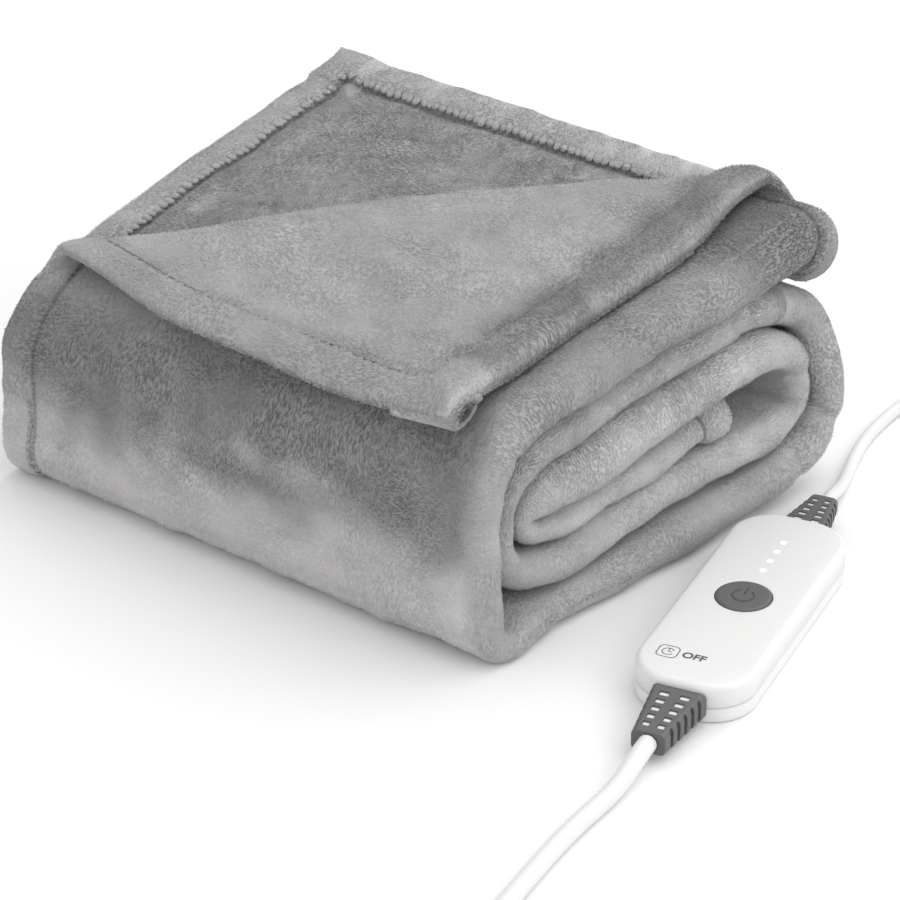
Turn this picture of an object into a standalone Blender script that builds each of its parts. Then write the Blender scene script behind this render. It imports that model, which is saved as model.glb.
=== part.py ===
"""Electric heated throw: folded in four lengthwise, rolled up flat, with the
corner of its top ply turned back, and its hand controller on the floor beside it.

Metres, +Z up. The roll's axis lies along X, its near end (the end that shows the
turns) looks along +X, and its front wall looks along -Y.
"""

import math
from collections import namedtuple

import bmesh
import bpy
import numpy as np
from mathutils import Matrix, Vector

# ----------------------------------------------------------------- blanket sizes
CLOTH = 0.0040  # two plush faces laid together, pressed by the turns above
PLY_GAP = 0.0004
HEM = 0.020  # width of the turned hem
HEM_SWELL = 0.10  # share of the free room between two plies that a hem fills
FREE_HEM_SWELL = 0.0012  # each side, where nothing lies on the hem
DROP_X = 0.128  # the top ply's end hem is flat past here, where the roll turns down
OUTER_HEM_X = -0.149  # long hem of the outer ply, at the far end of the roll
INNER_HEM_X = -0.149  # long hem of the second ply
FAR_FOLD_X = -0.145  # middle fold of the cloth, inside the far end

# The roll's middle line, from the free end on top to the core, seen from +X.
# reach is the X where the plies start to turn round the near end.
Turn = namedtuple("Turn", "y z thick reach")
ROLL = (
    # top band, from the free end to the front
    Turn(0.1010, 0.1200, 0.0250, 0.146),
    Turn(0.0975, 0.1275, 0.0240, 0.147),
    Turn(0.0900, 0.1330, 0.0240, 0.148),
    Turn(0.0750, 0.1365, 0.0245, 0.149),
    Turn(0.0580, 0.1365, 0.0245, 0.149),
    Turn(0.0400, 0.1340, 0.0240, 0.149),
    Turn(0.0150, 0.1320, 0.0240, 0.149),
    Turn(-0.0200, 0.1295, 0.0240, 0.149),
    Turn(-0.0550, 0.1255, 0.0240, 0.149),
    Turn(-0.0850, 0.1215, 0.0235, 0.149),
    Turn(-0.1100, 0.1165, 0.0225, 0.149),
    # front wall
    Turn(-0.1280, 0.1070, 0.0194, 0.150),
    Turn(-0.1370, 0.0940, 0.0179, 0.150),
    Turn(-0.1392, 0.0760, 0.0174, 0.150),
    Turn(-0.1392, 0.0540, 0.0174, 0.150),
    Turn(-0.1400, 0.0360, 0.0174, 0.150),
    Turn(-0.1415, 0.0220, 0.0170, 0.150),
    Turn(-0.1400, 0.0125, 0.0150, 0.152),
    Turn(-0.1335, 0.0078, 0.0150, 0.154),
    Turn(-0.1200, 0.0083, 0.0165, 0.154),
    # bottom band
    Turn(-0.0880, 0.0090, 0.0174, 0.151),
    Turn(-0.0500, 0.0092, 0.0174, 0.151),
    Turn(-0.0150, 0.0102, 0.0194, 0.151),
    Turn(0.0200, 0.0110, 0.0214, 0.151),
    Turn(0.0500, 0.0126, 0.0214, 0.151),
    Turn(0.0780, 0.0165, 0.0214, 0.151),
    # back wall
    Turn(0.0970, 0.0245, 0.0204, 0.150),
    Turn(0.1096, 0.0368, 0.0199, 0.149),
    Turn(0.1130, 0.0530, 0.0199, 0.148),
    Turn(0.1095, 0.0690, 0.0199, 0.147),
    Turn(0.1036, 0.0843, 0.0199, 0.146),
    Turn(0.0931, 0.0981, 0.0199, 0.145),
    # second band
    Turn(0.0750, 0.1065, 0.0199, 0.144),
    Turn(0.0500, 0.1095, 0.0194, 0.144),
    Turn(0.0200, 0.1080, 0.0194, 0.143),
    Turn(-0.0150, 0.1043, 0.0194, 0.143),
    Turn(-0.0500, 0.1006, 0.0194, 0.143),
    Turn(-0.0800, 0.0970, 0.0189, 0.143),
    Turn(-0.1020, 0.0920, 0.0174, 0.143),
    Turn(-0.1155, 0.0830, 0.0160, 0.143),
    Turn(-0.1210, 0.0710, 0.0150, 0.143),
    Turn(-0.1215, 0.0570, 0.0150, 0.143),
    Turn(-0.1190, 0.0440, 0.0160, 0.143),
    Turn(-0.1100, 0.0335, 0.0174, 0.143),
    # fourth band
    Turn(-0.0920, 0.0290, 0.0184, 0.143),
    Turn(-0.0600, 0.0286, 0.0184, 0.143),
    Turn(-0.0200, 0.0320, 0.0184, 0.143),
    Turn(0.0200, 0.0345, 0.0194, 0.143),
    Turn(0.0550, 0.0355, 0.0194, 0.143),
    Turn(0.0755, 0.0388, 0.0190, 0.145),
    Turn(0.0876, 0.0480, 0.0176, 0.148),
    Turn(0.0897, 0.0610, 0.0174, 0.149),
    Turn(0.0867, 0.0730, 0.0180, 0.148),
    Turn(0.0775, 0.0815, 0.0200, 0.146),
    # third band
    Turn(0.0645, 0.0843, 0.0240, 0.144),
    Turn(0.0400, 0.0836, 0.0252, 0.142),
    Turn(0.0100, 0.0810, 0.0262, 0.142),
    Turn(-0.0250, 0.0762, 0.0278, 0.142),
    Turn(-0.0550, 0.0726, 0.0296, 0.142),
    Turn(-0.0800, 0.0705, 0.0296, 0.142),
    Turn(-0.0955, 0.0662, 0.0224, 0.142),
    Turn(-0.1028, 0.0577, 0.0120, 0.141),
    Turn(-0.0970, 0.0494, 0.0128, 0.140),
    # core
    Turn(-0.0840, 0.0468, 0.0146, 0.140),
    Turn(-0.0500, 0.0468, 0.0154, 0.140),
    Turn(-0.0150, 0.0498, 0.0162, 0.139),
    Turn(0.0150, 0.0543, 0.0174, 0.138),
    Turn(0.0440, 0.0572, 0.0180, 0.137),
)
FREE_END_S = 0.106  # Y of the top ply's end hem when it lies flat

# Away from the near end the free end runs on straight instead of curling down.
STRAIGHT_ROW = 4  # the row of ROLL it leaves from
STRAIGHT_RISE = 0.17
CURL_FROM_X = 0.092
CURL_OVER = 0.045

# Turned-back corner, in the flat top ply: the crease, and where its tip lies.
CREASE_FRONT = Vector((-0.149, -0.1240))
CREASE_BACK = Vector((0.1430, 0.1060))
CREASE_BOW = 0.013
TIP = Vector((0.137, -0.149))
TURN_FRONT = 0.0080  # radius of the turn at the front end of the crease
TURN_MIDDLE = 0.0032
TURN_BACK = 0.0100
FLAP_LIE = 0.0068  # from the middle of the ply below to the middle of the flap
BROW_Y = -0.104  # where the top starts to round over into the front wall
BROW_DROOP = 0.0065  # sag of the hem that overhangs the front wall
DROOP_X = 0.068
DROOP_REACH = 0.055
EDGE_BULGE = 0.007  # how far the middle of that hem stands out

# Lean of the whole roll: its ends aren't square and its front far corner is low.
LEAN_NEAR = 0.085
LEAN_FAR = 0.040
LEAN_Y = -0.140
SAG = 0.19
BACK_Y = 0.122
PRESSED = 0.0008  # cloth this near the floor lies flat on it
SHARP = 0.50  # radians a bend turns between two rows before it gets another


def remove_everything():
    """Empty the file."""
    for thing in list(bpy.data.objects):
        bpy.data.objects.remove(thing)
    for group in list(bpy.data.collections):
        bpy.data.collections.remove(group)


def plastic(name, colour, roughness, metallic=0.0):
    """A Principled material."""
    material = bpy.data.materials.new(name)
    material.use_nodes = True
    shader = material.node_tree.nodes["Principled BSDF"]
    shader.inputs["Base Color"].default_value = (*colour, 1.0)
    shader.inputs["Roughness"].default_value = roughness
    shader.inputs["Metallic"].default_value = metallic
    return material


def smooth(t):
    """Ease from 0 to 1 with level ends."""
    t = np.clip(t, 0.0, 1.0)
    return t * t * (3.0 - 2.0 * t)


# ------------------------------------------------------------------ folding maths
def turn_lengths():
    """Distance along the middle line at each row of ROLL."""
    steps = [
        math.hypot(b.y - a.y, b.z - a.z) for a, b in zip(ROLL[:-1], ROLL[1:])
    ]
    return np.concatenate([[0.0], np.cumsum(steps)])


ALONG = turn_lengths()
ROWS = np.array(ROLL)


def slopes(values, stations):
    """Slope of each column at each station, from the parabola through three rows."""
    gaps = np.diff(stations)[:, None]
    rates = np.diff(values, axis=0) / gaps
    left, right = gaps[:-1], gaps[1:]
    inner = (rates[:-1] * right + rates[1:] * left) / (left + right)
    return np.concatenate([rates[:1], inner, rates[-1:]])


def smooth_through(values, stations, at):
    """Smooth curve through the rows of a table, and its heading, at some stations."""
    rates = slopes(values, stations)
    i = np.clip(np.searchsorted(stations, at, side="right") - 1, 0, len(stations) - 2)
    gap = (stations[i + 1] - stations[i])[:, None]
    t = (at - stations[i])[:, None] / gap
    a, b, ma, mb = values[i], values[i + 1], rates[i] * gap, rates[i + 1] * gap
    place = (
        (2 * t**3 - 3 * t**2 + 1) * a
        + (t**3 - 2 * t**2 + t) * ma
        + (3 * t**2 - 2 * t**3) * b
        + (t**3 - t**2) * mb
    )
    heading = (
        (6 * t**2 - 6 * t) * a
        + (3 * t**2 - 4 * t + 1) * ma
        + (6 * t - 6 * t**2) * b
        + (3 * t**2 - 2 * t) * mb
    )
    return place, heading


SLOPES = slopes(ROWS, ALONG)


def along_roll(v):
    """Middle line at distance v: point, outward normal, thickness and reach."""
    row, run = smooth_through(ROWS, ALONG, np.clip(v, 0.0, ALONG[-1]))
    tangent = run[:, :2] / np.linalg.norm(run[:, :2], axis=1, keepdims=True)
    normal = np.stack([tangent[:, 1], -tangent[:, 0]], axis=1)
    return row[:, :2], normal, row[:, 2], row[:, 3]


# Lengths of cloth from the outer hem to the second ply's hem.
NEAR_X = 0.146  # mean reach
MEAN_HALF = 0.0091  # mean distance from the middle line to the outer ply
PLY_1 = NEAR_X - OUTER_HEM_X
NEAR_TURN = math.pi * MEAN_HALF
PLY_4 = NEAR_X - FAR_FOLD_X
FAR_TURN = math.pi * MEAN_HALF / 3
PLY_3 = PLY_4
INNER_TURN = FAR_TURN
PLY_2 = NEAR_X - INNER_HEM_X
U_ENDS = np.cumsum(
    [0.0, PLY_1, NEAR_TURN, PLY_4, FAR_TURN, PLY_3, INNER_TURN, PLY_2]
)
CUT_WIDTH = float(U_ENDS[-1])
CUT_LENGTH = float(ALONG[-1])


def pressed_cloth(thick):
    """The cloth's thickness where four plies share this much room."""
    return np.minimum(CLOTH, (thick - 3 * PLY_GAP) / 4)


def across_strip(u, w, thick, reach):
    """Fold the width in four: X and distance from the middle line, outwards."""
    outer = thick / 2 - pressed_cloth(thick) / 2
    inner = outer / 3
    part = np.clip(np.searchsorted(U_ENDS, u, side="right") - 1, 0, 6)
    t = (u - U_ENDS[part]) / np.diff(U_ENDS)[part]
    angle = math.pi * t
    bend = (outer - inner) / 2 + w
    middle = (outer + inner) / 2
    choices_x = [
        OUTER_HEM_X + t * (reach - OUTER_HEM_X),
        reach + (outer + w) * np.sin(angle),
        reach + t * (FAR_FOLD_X - reach),
        FAR_FOLD_X - bend * np.sin(angle),
        FAR_FOLD_X + t * (reach - FAR_FOLD_X),
        reach + (inner - w) * np.sin(angle),
        reach + t * (INNER_HEM_X - reach),
    ]
    choices_out = [
        outer + w,
        (outer + w) * np.cos(angle),
        -outer - w,
        -middle - bend * np.cos(angle),
        -inner + w,
        -(inner - w) * np.cos(angle),
        inner - w,
    ]
    return np.choose(part, choices_x), np.choose(part, choices_out)


def rolled(u, v, w):
    """Place cloth that is folded in four and rolled, before the corner turns back."""
    point, normal, thick, reach = along_roll(v)
    x, out = across_strip(u, w, thick, reach)
    place = point + normal * out[:, None]
    run = ALONG[STRAIGHT_ROW] - v
    straight_y = ROLL[STRAIGHT_ROW].y + run - STRAIGHT_RISE * out
    straight_z = ROLL[STRAIGHT_ROW].z + STRAIGHT_RISE * run * run / ALONG[STRAIGHT_ROW]
    straight = np.stack([straight_y, straight_z + out], axis=1)
    share = (1.0 - smooth((x - CURL_FROM_X) / CURL_OVER)) * smooth(run / 0.012)
    place = place + (straight - place) * share[:, None]
    return np.stack([x, place[:, 0], place[:, 1]], axis=1)


def leaned(places):
    """Lean the roll, let its front far corner sink and press its underside flat."""
    x, y, z = places.T
    near = (x - OUTER_HEM_X) / (NEAR_X - OUTER_HEM_X)
    back = 1.0 - (1.0 - np.clip((y - LEAN_Y) / (BACK_Y - LEAN_Y), 0.0, 1.0)) ** 1.7
    x = x + (y - LEAN_Y) * (LEAN_FAR + (LEAN_NEAR - LEAN_FAR) * near)
    z = z * (1.0 - SAG * np.clip(1.0 - near, 0.0, 1.0) * (1.0 - back))
    z = np.where(z < PRESSED, 0.0, z)
    return np.stack([x, y, z], axis=1)


CREASE_LENGTH = (CREASE_BACK - CREASE_FRONT).length
CREASE_DIRECTION = (CREASE_BACK - CREASE_FRONT) / CREASE_LENGTH
CREASE_NORMAL = Vector((-CREASE_DIRECTION.y, CREASE_DIRECTION.x))


def crease_frame(x, s):
    """Distance along the crease and past it, towards the corner that turns back."""
    dx, ds = x - CREASE_FRONT.x, s - CREASE_FRONT.y
    along = dx * CREASE_DIRECTION.x + ds * CREASE_DIRECTION.y
    past = dx * CREASE_NORMAL.x + ds * CREASE_NORMAL.y
    return along, past


CORNER_ALONG, CORNER_PAST = crease_frame(OUTER_HEM_X, FREE_END_S)
TIP_ALONG, TIP_PAST = crease_frame(TIP.x, TIP.y)


def bow(along):
    """How far the crease bows towards the corner that turns back."""
    share = np.clip(along / CREASE_LENGTH, 0.0, 1.0)
    return CREASE_BOW * np.sin(math.pi * share**2.2)


def turn_radius(along):
    """Radius of the turned-back ply's fold, larger at both ends of the crease."""
    front = (TURN_FRONT - TURN_MIDDLE) * (1.0 - smooth(along / 0.080))
    back = (TURN_BACK - TURN_MIDDLE) * smooth((along - 0.280) / 0.110)
    return TURN_MIDDLE + front + back


def turned_back(u, v, w):
    """Places of cloth past the crease, which turns over and lies on its own ply."""
    x = OUTER_HEM_X + u
    along, past = crease_frame(x, FREE_END_S - v)
    foot_x = CREASE_FRONT.x + along * CREASE_DIRECTION.x + bow(along) * CREASE_NORMAL.x
    foot_s = CREASE_FRONT.y + along * CREASE_DIRECTION.y + bow(along) * CREASE_NORMAL.y
    foot = rolled(foot_x - OUTER_HEM_X, FREE_END_S - foot_s, 0.0 * w)
    radius = turn_radius(along)
    bend = np.clip(past / radius, 0.0, math.pi)
    run = (radius - w) * np.sin(bend)
    rise = radius - (radius - w) * np.cos(bend)
    over = np.clip(past - math.pi * radius, 0.0, None)
    reach = over * (-TIP_PAST / (CORNER_PAST - math.pi * radius))
    shift = (TIP_ALONG - CORNER_ALONG) * over / (CORNER_PAST - math.pi * radius)
    side = run - reach - bow(along) * smooth(over / 0.090)
    flat_x = foot[:, 0] + side * CREASE_NORMAL.x + shift * CREASE_DIRECTION.x
    flat_y = foot[:, 1] + side * CREASE_NORMAL.y + shift * CREASE_DIRECTION.y
    share = np.clip((flat_x - CREASE_FRONT.x) / (TIP.x - CREASE_FRONT.x), 0.0, 1.0)
    edge_y = CREASE_FRONT.y + share * (TIP.y - CREASE_FRONT.y)
    inside = np.clip(flat_y - edge_y, 0.0, None)
    flat_y = flat_y - EDGE_BULGE * np.sin(math.pi * share**0.5) * np.exp(-inside / 0.050)
    below_y = np.maximum(flat_y, BROW_Y)
    below = rolled(flat_x - OUTER_HEM_X, FREE_END_S - below_y, 0.0 * w)
    shape = np.exp(-(((flat_x - DROOP_X) / DROOP_REACH) ** 2))
    brow = below[:, 2] - BROW_DROOP * shape * smooth((BROW_Y - flat_y) / 0.045)
    settle = smooth(over / (0.040 + 4.0 * radius))
    lying = brow + FLAP_LIE + np.abs(w) - CLOTH / 2 - w
    standing = foot[:, 2] + rise
    z = np.where(over > 0.0, standing + (lying - standing) * settle, standing)
    return np.stack([flat_x, flat_y, z], axis=1)


def half_thickness(u, v):
    """Half the cloth's thickness, more in the hems."""
    _, _, thick, _ = along_roll(v)
    cloth = pressed_cloth(thick)
    room = (thick - cloth) / 3 - cloth
    edge = np.minimum.reduce([u, CUT_WIDTH - u, v, CUT_LENGTH - v])
    in_hem = 1.0 - smooth((edge - 0.7 * HEM) / (0.35 * HEM))
    x = OUTER_HEM_X + u
    _, past = crease_frame(x, FREE_END_S - v)
    free = smooth(past / 0.020) * smooth((DROP_X - x) / 0.020) * (v < CREASE_REACH)
    swell = HEM_SWELL * room + FREE_HEM_SWELL * free
    return cloth / 2 + swell * in_hem


CREASE_REACH = FREE_END_S - CREASE_FRONT.y + 0.001


def fold(flat):
    """Places of the flat cloth's points: u, v and -1 or 1 for its two faces."""
    u, v, face = flat.T
    w = face * half_thickness(u, v)
    along, past = crease_frame(OUTER_HEM_X + u, FREE_END_S - v)
    top_ply = (u <= PLY_1) & (v <= CREASE_REACH)
    moved = bow(along) * smooth(1.0 + past / 0.080) * top_ply
    places = rolled(u + moved * CREASE_NORMAL.x, v - moved * CREASE_NORMAL.y, w)
    turns = (past > 0.0) & top_ply
    places[turns] = turned_back(u[turns], v[turns], w[turns])
    return leaned(places)


def stations_across():
    """Where the cloth is gridded across: the same X in all four plies."""
    seam = HEM * 0.9
    lines = (-0.045, 0.060, 0.105, 0.127)
    from_near = [NEAR_X - x for x in reversed(lines)]
    stations = [0.0, seam] + [x - OUTER_HEM_X for x in lines]
    stations += list(np.linspace(U_ENDS[1], U_ENDS[2], 6))
    stations += [U_ENDS[2] + step for step in from_near]
    stations += list(np.linspace(U_ENDS[3], U_ENDS[4], 3))
    stations += [U_ENDS[5] - step for step in reversed(from_near)]
    stations += list(np.linspace(U_ENDS[5], U_ENDS[6], 3))
    stations += [U_ENDS[6] + step for step in from_near]
    stations += [U_ENDS[7] - seam, U_ENDS[7]]
    return [float(u) for u in stations]


def stations_along():
    """Where it is gridded along: each row of ROLL, and between rows in sharp bends."""
    headings = np.unwrap(np.arctan2(SLOPES[:, 1], SLOPES[:, 0]))
    stations = []
    for row, turn in enumerate(np.abs(np.diff(headings))):
        parts = 2 if turn > SHARP else 1
        stations += list(np.linspace(ALONG[row], ALONG[row + 1], parts, endpoint=False))
    return [float(v) for v in stations] + [CUT_LENGTH]


def blanket_mesh():
    """The cloth as cut, gridded where it folds, given two faces, and folded."""
    stations_u = stations_across()
    stations_v = stations_along()
    mesh = bmesh.new()
    columns, rows = len(stations_u) - 1, len(stations_v) - 1
    bmesh.ops.create_grid(mesh, x_segments=columns, y_segments=rows, size=0.5)
    for vertex in mesh.verts:
        column = round((vertex.co.x + 0.5) * columns)
        row = round((vertex.co.y + 0.5) * rows)
        vertex.co = (stations_u[column], stations_v[row], 0.0)
    across = Vector((CREASE_NORMAL.x, -CREASE_NORMAL.y, 0.0))
    start = Vector((0.0, FREE_END_S - CREASE_FRONT.y, 0.0))
    for past in (0.0, 0.004, 0.008, 0.012, 0.017, 0.025, 0.045):
        top_ply = [
            face
            for face in mesh.faces
            if all(
                corner.co.x < PLY_1 + 1e-6 and corner.co.y < CREASE_REACH + 0.03
                for corner in face.verts
            )
        ]
        edges = {edge for face in top_ply for edge in face.edges}
        corners = {corner for face in top_ply for corner in face.verts}
        bmesh.ops.bisect_plane(
            mesh,
            geom=list(corners) + list(edges) + top_ply,
            dist=1e-6,
            plane_co=start + across * past,
            plane_no=across,
        )
    made = bmesh.ops.extrude_face_region(mesh, geom=mesh.faces[:])["geom"]
    lifted = {item for item in made if isinstance(item, bmesh.types.BMVert)}
    for vertex in mesh.verts:
        vertex.co.z = 1.0 if vertex in lifted else -1.0
    flat = np.array([vertex.co[:] for vertex in mesh.verts])
    for vertex, place in zip(mesh.verts, fold(flat)):
        vertex.co = place
    bmesh.ops.triangulate(mesh, faces=mesh.faces[:])
    bmesh.ops.recalc_face_normals(mesh, faces=mesh.faces[:])
    data = bpy.data.meshes.new("blanket")
    mesh.to_mesh(data)
    mesh.free()
    return data


# ------------------------------------------------------------- controller sizes
CONTROL_AT = Vector((0.2310, -0.0420, 0.0))
CONTROL_TURN = math.radians(104.2)  # heading of its upper end
CONTROL_LENGTH = 0.164
CONTROL_WIDTH = 0.058
CONTROL_CORNER = 0.0225
CONTROL_HEIGHT = 0.0200
CORNER_STEPS = 7
PARTING_Z = 0.0078
PARTING_CHAMFER = 0.0006
TOP_ROUND = 0.0030
BOTTOM_ROUND = 0.0022
BUTTON_RADIUS = 0.0135
BUTTON_CLEAR = 0.0004  # round the button
BUTTON_WELL = 0.0050  # depth of its well
BUTTON_FOOT = 0.0018  # from the well's floor to the button; it travels 1 mm
BUTTON_PROUD = 0.0007
BUTTON_ROUND = 0.0008
LIGHT_RADIUS = 0.0017
LIGHT_DEPTH = 0.0016
LIGHTS_ALONG = (0.0265, 0.0360, 0.0455, 0.0550)
GAP = 0.0003  # between pieces that meet
LEAD_Z = 0.0100  # middle of the leads where they leave the controller

# A strain relief, from the end at the controller (in) to the lead's end (out).
Relief = namedtuple("Relief", "length wide_in wide_out high_in high_out window")
LOWER_RELIEF = Relief(0.0380, 0.0265, 0.0165, 0.0128, 0.0110, 0.0052)
UPPER_RELIEF = Relief(0.0330, 0.0240, 0.0140, 0.0122, 0.0092, 0.0046)
RELIEF_ROUND = 0.0024
WINDOW_ROWS = 5
WINDOW_DEPTH = 0.0020
NOTCH_DEPTH = 0.0014

# -------------------------------------------------------------------- lead sizes
# A coil: its middle, the radius of its middle turn, turns side by side and on
# top of each other.
Coil = namedtuple("Coil", "x y turn beside layers")
MAINS_RADIUS = 0.0045
MAINS_ROUTE = (  # from the lower relief to the coil
    (0.2607, -0.1592, 0.0100),
    (0.2622, -0.1652, 0.0099),
    (0.2638, -0.1732, 0.0088),
    (0.2660, -0.1850, 0.0063),
    (0.2677, -0.1990, 0.0050),
    (0.2692, -0.2180, 0.0048),
    (0.2720, -0.2400, 0.0048),
    (0.2765, -0.2650, 0.0048),
    (0.2815, -0.2900, 0.0048),
    (0.2862, -0.3180, 0.0048),
    (0.2905, -0.3480, 0.0048),
    (0.2935, -0.3740, 0.0048),
    (0.2945, -0.3975, 0.0048),
)
MAINS_COIL = Coil(0.2395, -0.4300, 0.0460, 3, 2)
BLANKET_LEAD_RADIUS = 0.00325
BLANKET_LEAD_ROUTE = (  # from the upper relief to the coil
    (0.2026, 0.0705, 0.0100),
    (0.2011, 0.0763, 0.0099),
    (0.1990, 0.0840, 0.0085),
    (0.1955, 0.0950, 0.0058),
    (0.1900, 0.1090, 0.0040),
    (0.1820, 0.1290, 0.0036),
    (0.1755, 0.1500, 0.0036),
    (0.1715, 0.1740, 0.0036),
    (0.1702, 0.2000, 0.0036),
    (0.1700, 0.2265, 0.0036),
)
BLANKET_LEAD_COIL = Coil(0.20925, 0.2500, 0.0360, 2, 2)
LEAD_STEP = 2.2  # diameters between the points of a lead
COIL_STEPS = 40

# A moulded end on a lead: from the lead's end (tip) to the face that plugs in.
Moulding = namedtuple("Moulding", "neck neck_tip neck_root body wide high round")
PLUG = Moulding(0.024, 0.0120, 0.0150, 0.032, 0.0250, 0.0170, 0.0040)
PLUG_TIP = Vector((0.2046, -0.4850))
PLUG_TURN = math.pi
BLADE_LENGTH = 0.0172
BLADE_HEIGHT = 0.0063
BLADE_THICK = 0.0015
BLADE_APART = 0.0127
CONNECTOR = Moulding(0.016, 0.0085, 0.0105, 0.030, 0.0190, 0.0120, 0.0018)
CONNECTOR_TIP = Vector((0.24855, 0.2255))
CONNECTOR_TURN = -math.pi / 2
SECTION_STEPS = 3  # in each round corner of a moulded end
SOCKET_DEPTH = 0.0090
SOCKET_SIZE = 0.0024
SOCKET_APART = 0.0045


# ---------------------------------------------------------------- modelling tools
def as_object(name, mesh, collection, material=None):
    """Put a bmesh in a new object of a collection."""
    data = bpy.data.meshes.new(name)
    mesh.to_mesh(data)
    mesh.free()
    thing = bpy.data.objects.new(name, data)
    collection.objects.link(thing)
    if material:
        data.materials.append(material)
    return thing


def add_box(mesh, size, centre):
    """Add a box to a bmesh."""
    place = Matrix.Translation(centre) @ Matrix.Diagonal((*size, 1.0))
    return bmesh.ops.create_cube(mesh, size=1.0, matrix=place)["verts"]


def round_edges(mesh, wanted, offset, steps):
    """Bevel the edges for which wanted(middle, direction) holds."""
    edges = []
    for edge in mesh.edges:
        start, end = edge.verts[0].co, edge.verts[1].co
        if wanted((start + end) / 2, (end - start).normalized()):
            edges.append(edge)
    bmesh.ops.bevel(
        mesh,
        geom=edges,
        offset=offset,
        offset_type="OFFSET",
        segments=steps,
        profile=0.5,
        affect="EDGES",
        clamp_overlap=False,
    )


def cut(thing, cutter):
    """Take a cutter's shape out of an object."""
    modifier = thing.modifiers.new(cutter.name, "BOOLEAN")
    modifier.operation = "DIFFERENCE"
    modifier.solver = "EXACT"
    modifier.object = cutter
    cutter.hide_render = True
    cutter.display_type = "WIRE"


def shade(thing, angle=35.0):
    """Shade round faces smooth and keep the edges sharp."""
    thing.data.shade_smooth()
    thing.data.set_sharp_from_angle(angle=math.radians(angle))


# --------------------------------------------------------------------- controller
def on_control(along, across=0.0, z=0.0):
    """A place on the controller, from its middle along its length and its width."""
    ahead = Vector((math.cos(CONTROL_TURN), math.sin(CONTROL_TURN), 0.0))
    aside = Vector((ahead.y, -ahead.x, 0.0))
    return CONTROL_AT + ahead * along + aside * across + Vector((0.0, 0.0, z))


def add_shell(name, low, high, low_round, high_round, parts, material):
    """One half of the controller: a box with round corners and eased rims."""
    mesh = bmesh.new()
    middle = (0.0, 0.0, (low + high) / 2)
    add_box(mesh, (CONTROL_LENGTH, CONTROL_WIDTH, high - low), middle)
    round_edges(mesh, lambda at, way: abs(way.z) > 0.9, CONTROL_CORNER, CORNER_STEPS)
    for z, size, steps in ((low, *low_round), (high, *high_round)):
        round_edges(
            mesh,
            lambda at, way, z=z: abs(at.z - z) < 1e-6 and abs(way.z) < 0.1,
            size,
            steps,
        )
    shell = as_object(name, mesh, parts, material)
    shell.location = CONTROL_AT
    shell.rotation_euler.z = CONTROL_TURN
    shade(shell)
    return shell


def add_disc(name, radius, low, high, at, steps, collection, material=None):
    """A short upright cylinder."""
    mesh = bmesh.new()
    bmesh.ops.create_cone(
        mesh,
        cap_ends=True,
        segments=steps,
        radius1=radius,
        radius2=radius,
        depth=high - low,
        matrix=Matrix.Translation((0.0, 0.0, (low + high) / 2)),
    )
    disc = as_object(name, mesh, collection, material)
    disc.location = at
    return disc


def add_controller(parts, cutters, white, grey, clear):
    """Two shells, the power button in its well and four lights."""
    add_shell(
        "controller_lower_shell",
        0.0,
        PARTING_Z,
        (BOTTOM_ROUND, 2),
        (PARTING_CHAMFER, 1),
        parts,
        white,
    )
    upper = add_shell(
        "controller_upper_shell",
        PARTING_Z + GAP,
        CONTROL_HEIGHT,
        (PARTING_CHAMFER, 1),
        (TOP_ROUND, 3),
        parts,
        white,
    )
    well_floor = CONTROL_HEIGHT - BUTTON_WELL
    above = CONTROL_HEIGHT + 0.010
    radius = BUTTON_RADIUS + BUTTON_CLEAR
    well = add_disc(
        "button_well", radius, well_floor, above, on_control(0.0), 40, cutters
    )
    cut(upper, well)
    low, high = well_floor + BUTTON_FOOT, CONTROL_HEIGHT + BUTTON_PROUD
    button = add_disc(
        "power_button", BUTTON_RADIUS, low, high, on_control(0.0), 36, parts, grey
    )
    rim = button.modifiers.new("rim", "BEVEL")
    rim.width = BUTTON_ROUND
    rim.segments = 2
    rim.limit_method = "ANGLE"
    shade(button)
    for number, along in enumerate(LIGHTS_ALONG, start=1):
        low = CONTROL_HEIGHT - LIGHT_DEPTH
        at = on_control(along)
        hole = add_disc(
            f"light_hole_{number}", LIGHT_RADIUS + GAP, low - GAP, above, at, 16, cutters
        )
        cut(upper, hole)
        light = add_disc(
            f"light_{number}", LIGHT_RADIUS, low, CONTROL_HEIGHT, at, 12, parts, clear
        )
        shade(light)


def relief_size(relief, share):
    """Width and height of a strain relief at a share of its length."""
    wide = relief.wide_in + (relief.wide_out - relief.wide_in) * share
    high = relief.high_in + (relief.high_out - relief.high_in) * share
    return wide, high


def add_relief(name, relief, foot, turn, parts, cutters, material):
    """A tapered strain relief with two columns of windows and notched sides."""
    mesh = bmesh.new()
    for corner in add_box(mesh, (relief.length, 1.0, 1.0), (relief.length / 2, 0, 0)):
        wide, high = relief_size(relief, corner.co.x / relief.length)
        corner.co.y *= wide
        corner.co.z *= high
    round_edges(mesh, lambda at, way: abs(way.x) > 0.9, RELIEF_ROUND, 2)
    body = as_object(name, mesh, parts, material)
    windows = bmesh.new()
    pitch = relief.length / (WINDOW_ROWS + 1)
    for row in range(WINDOW_ROWS):
        along = pitch * (row + 1)
        wide, high = relief_size(relief, along / relief.length)
        window = (pitch * 0.55, relief.window * wide / relief.wide_in, 2 * WINDOW_DEPTH)
        notch = (pitch * 0.45, 2 * NOTCH_DEPTH, 2 * high)
        for side in (-1, 1):
            add_box(windows, notch, (along, side * wide / 2, 0.0))
            for face in (-1, 1):
                add_box(windows, window, (along, side * wide * 0.2, face * high / 2))
    cutter = as_object(f"{name}_windows", windows, cutters)
    for thing in (body, cutter):
        thing.location = foot
        thing.rotation_euler.z = turn
    cut(body, cutter)
    shade(body)


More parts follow.
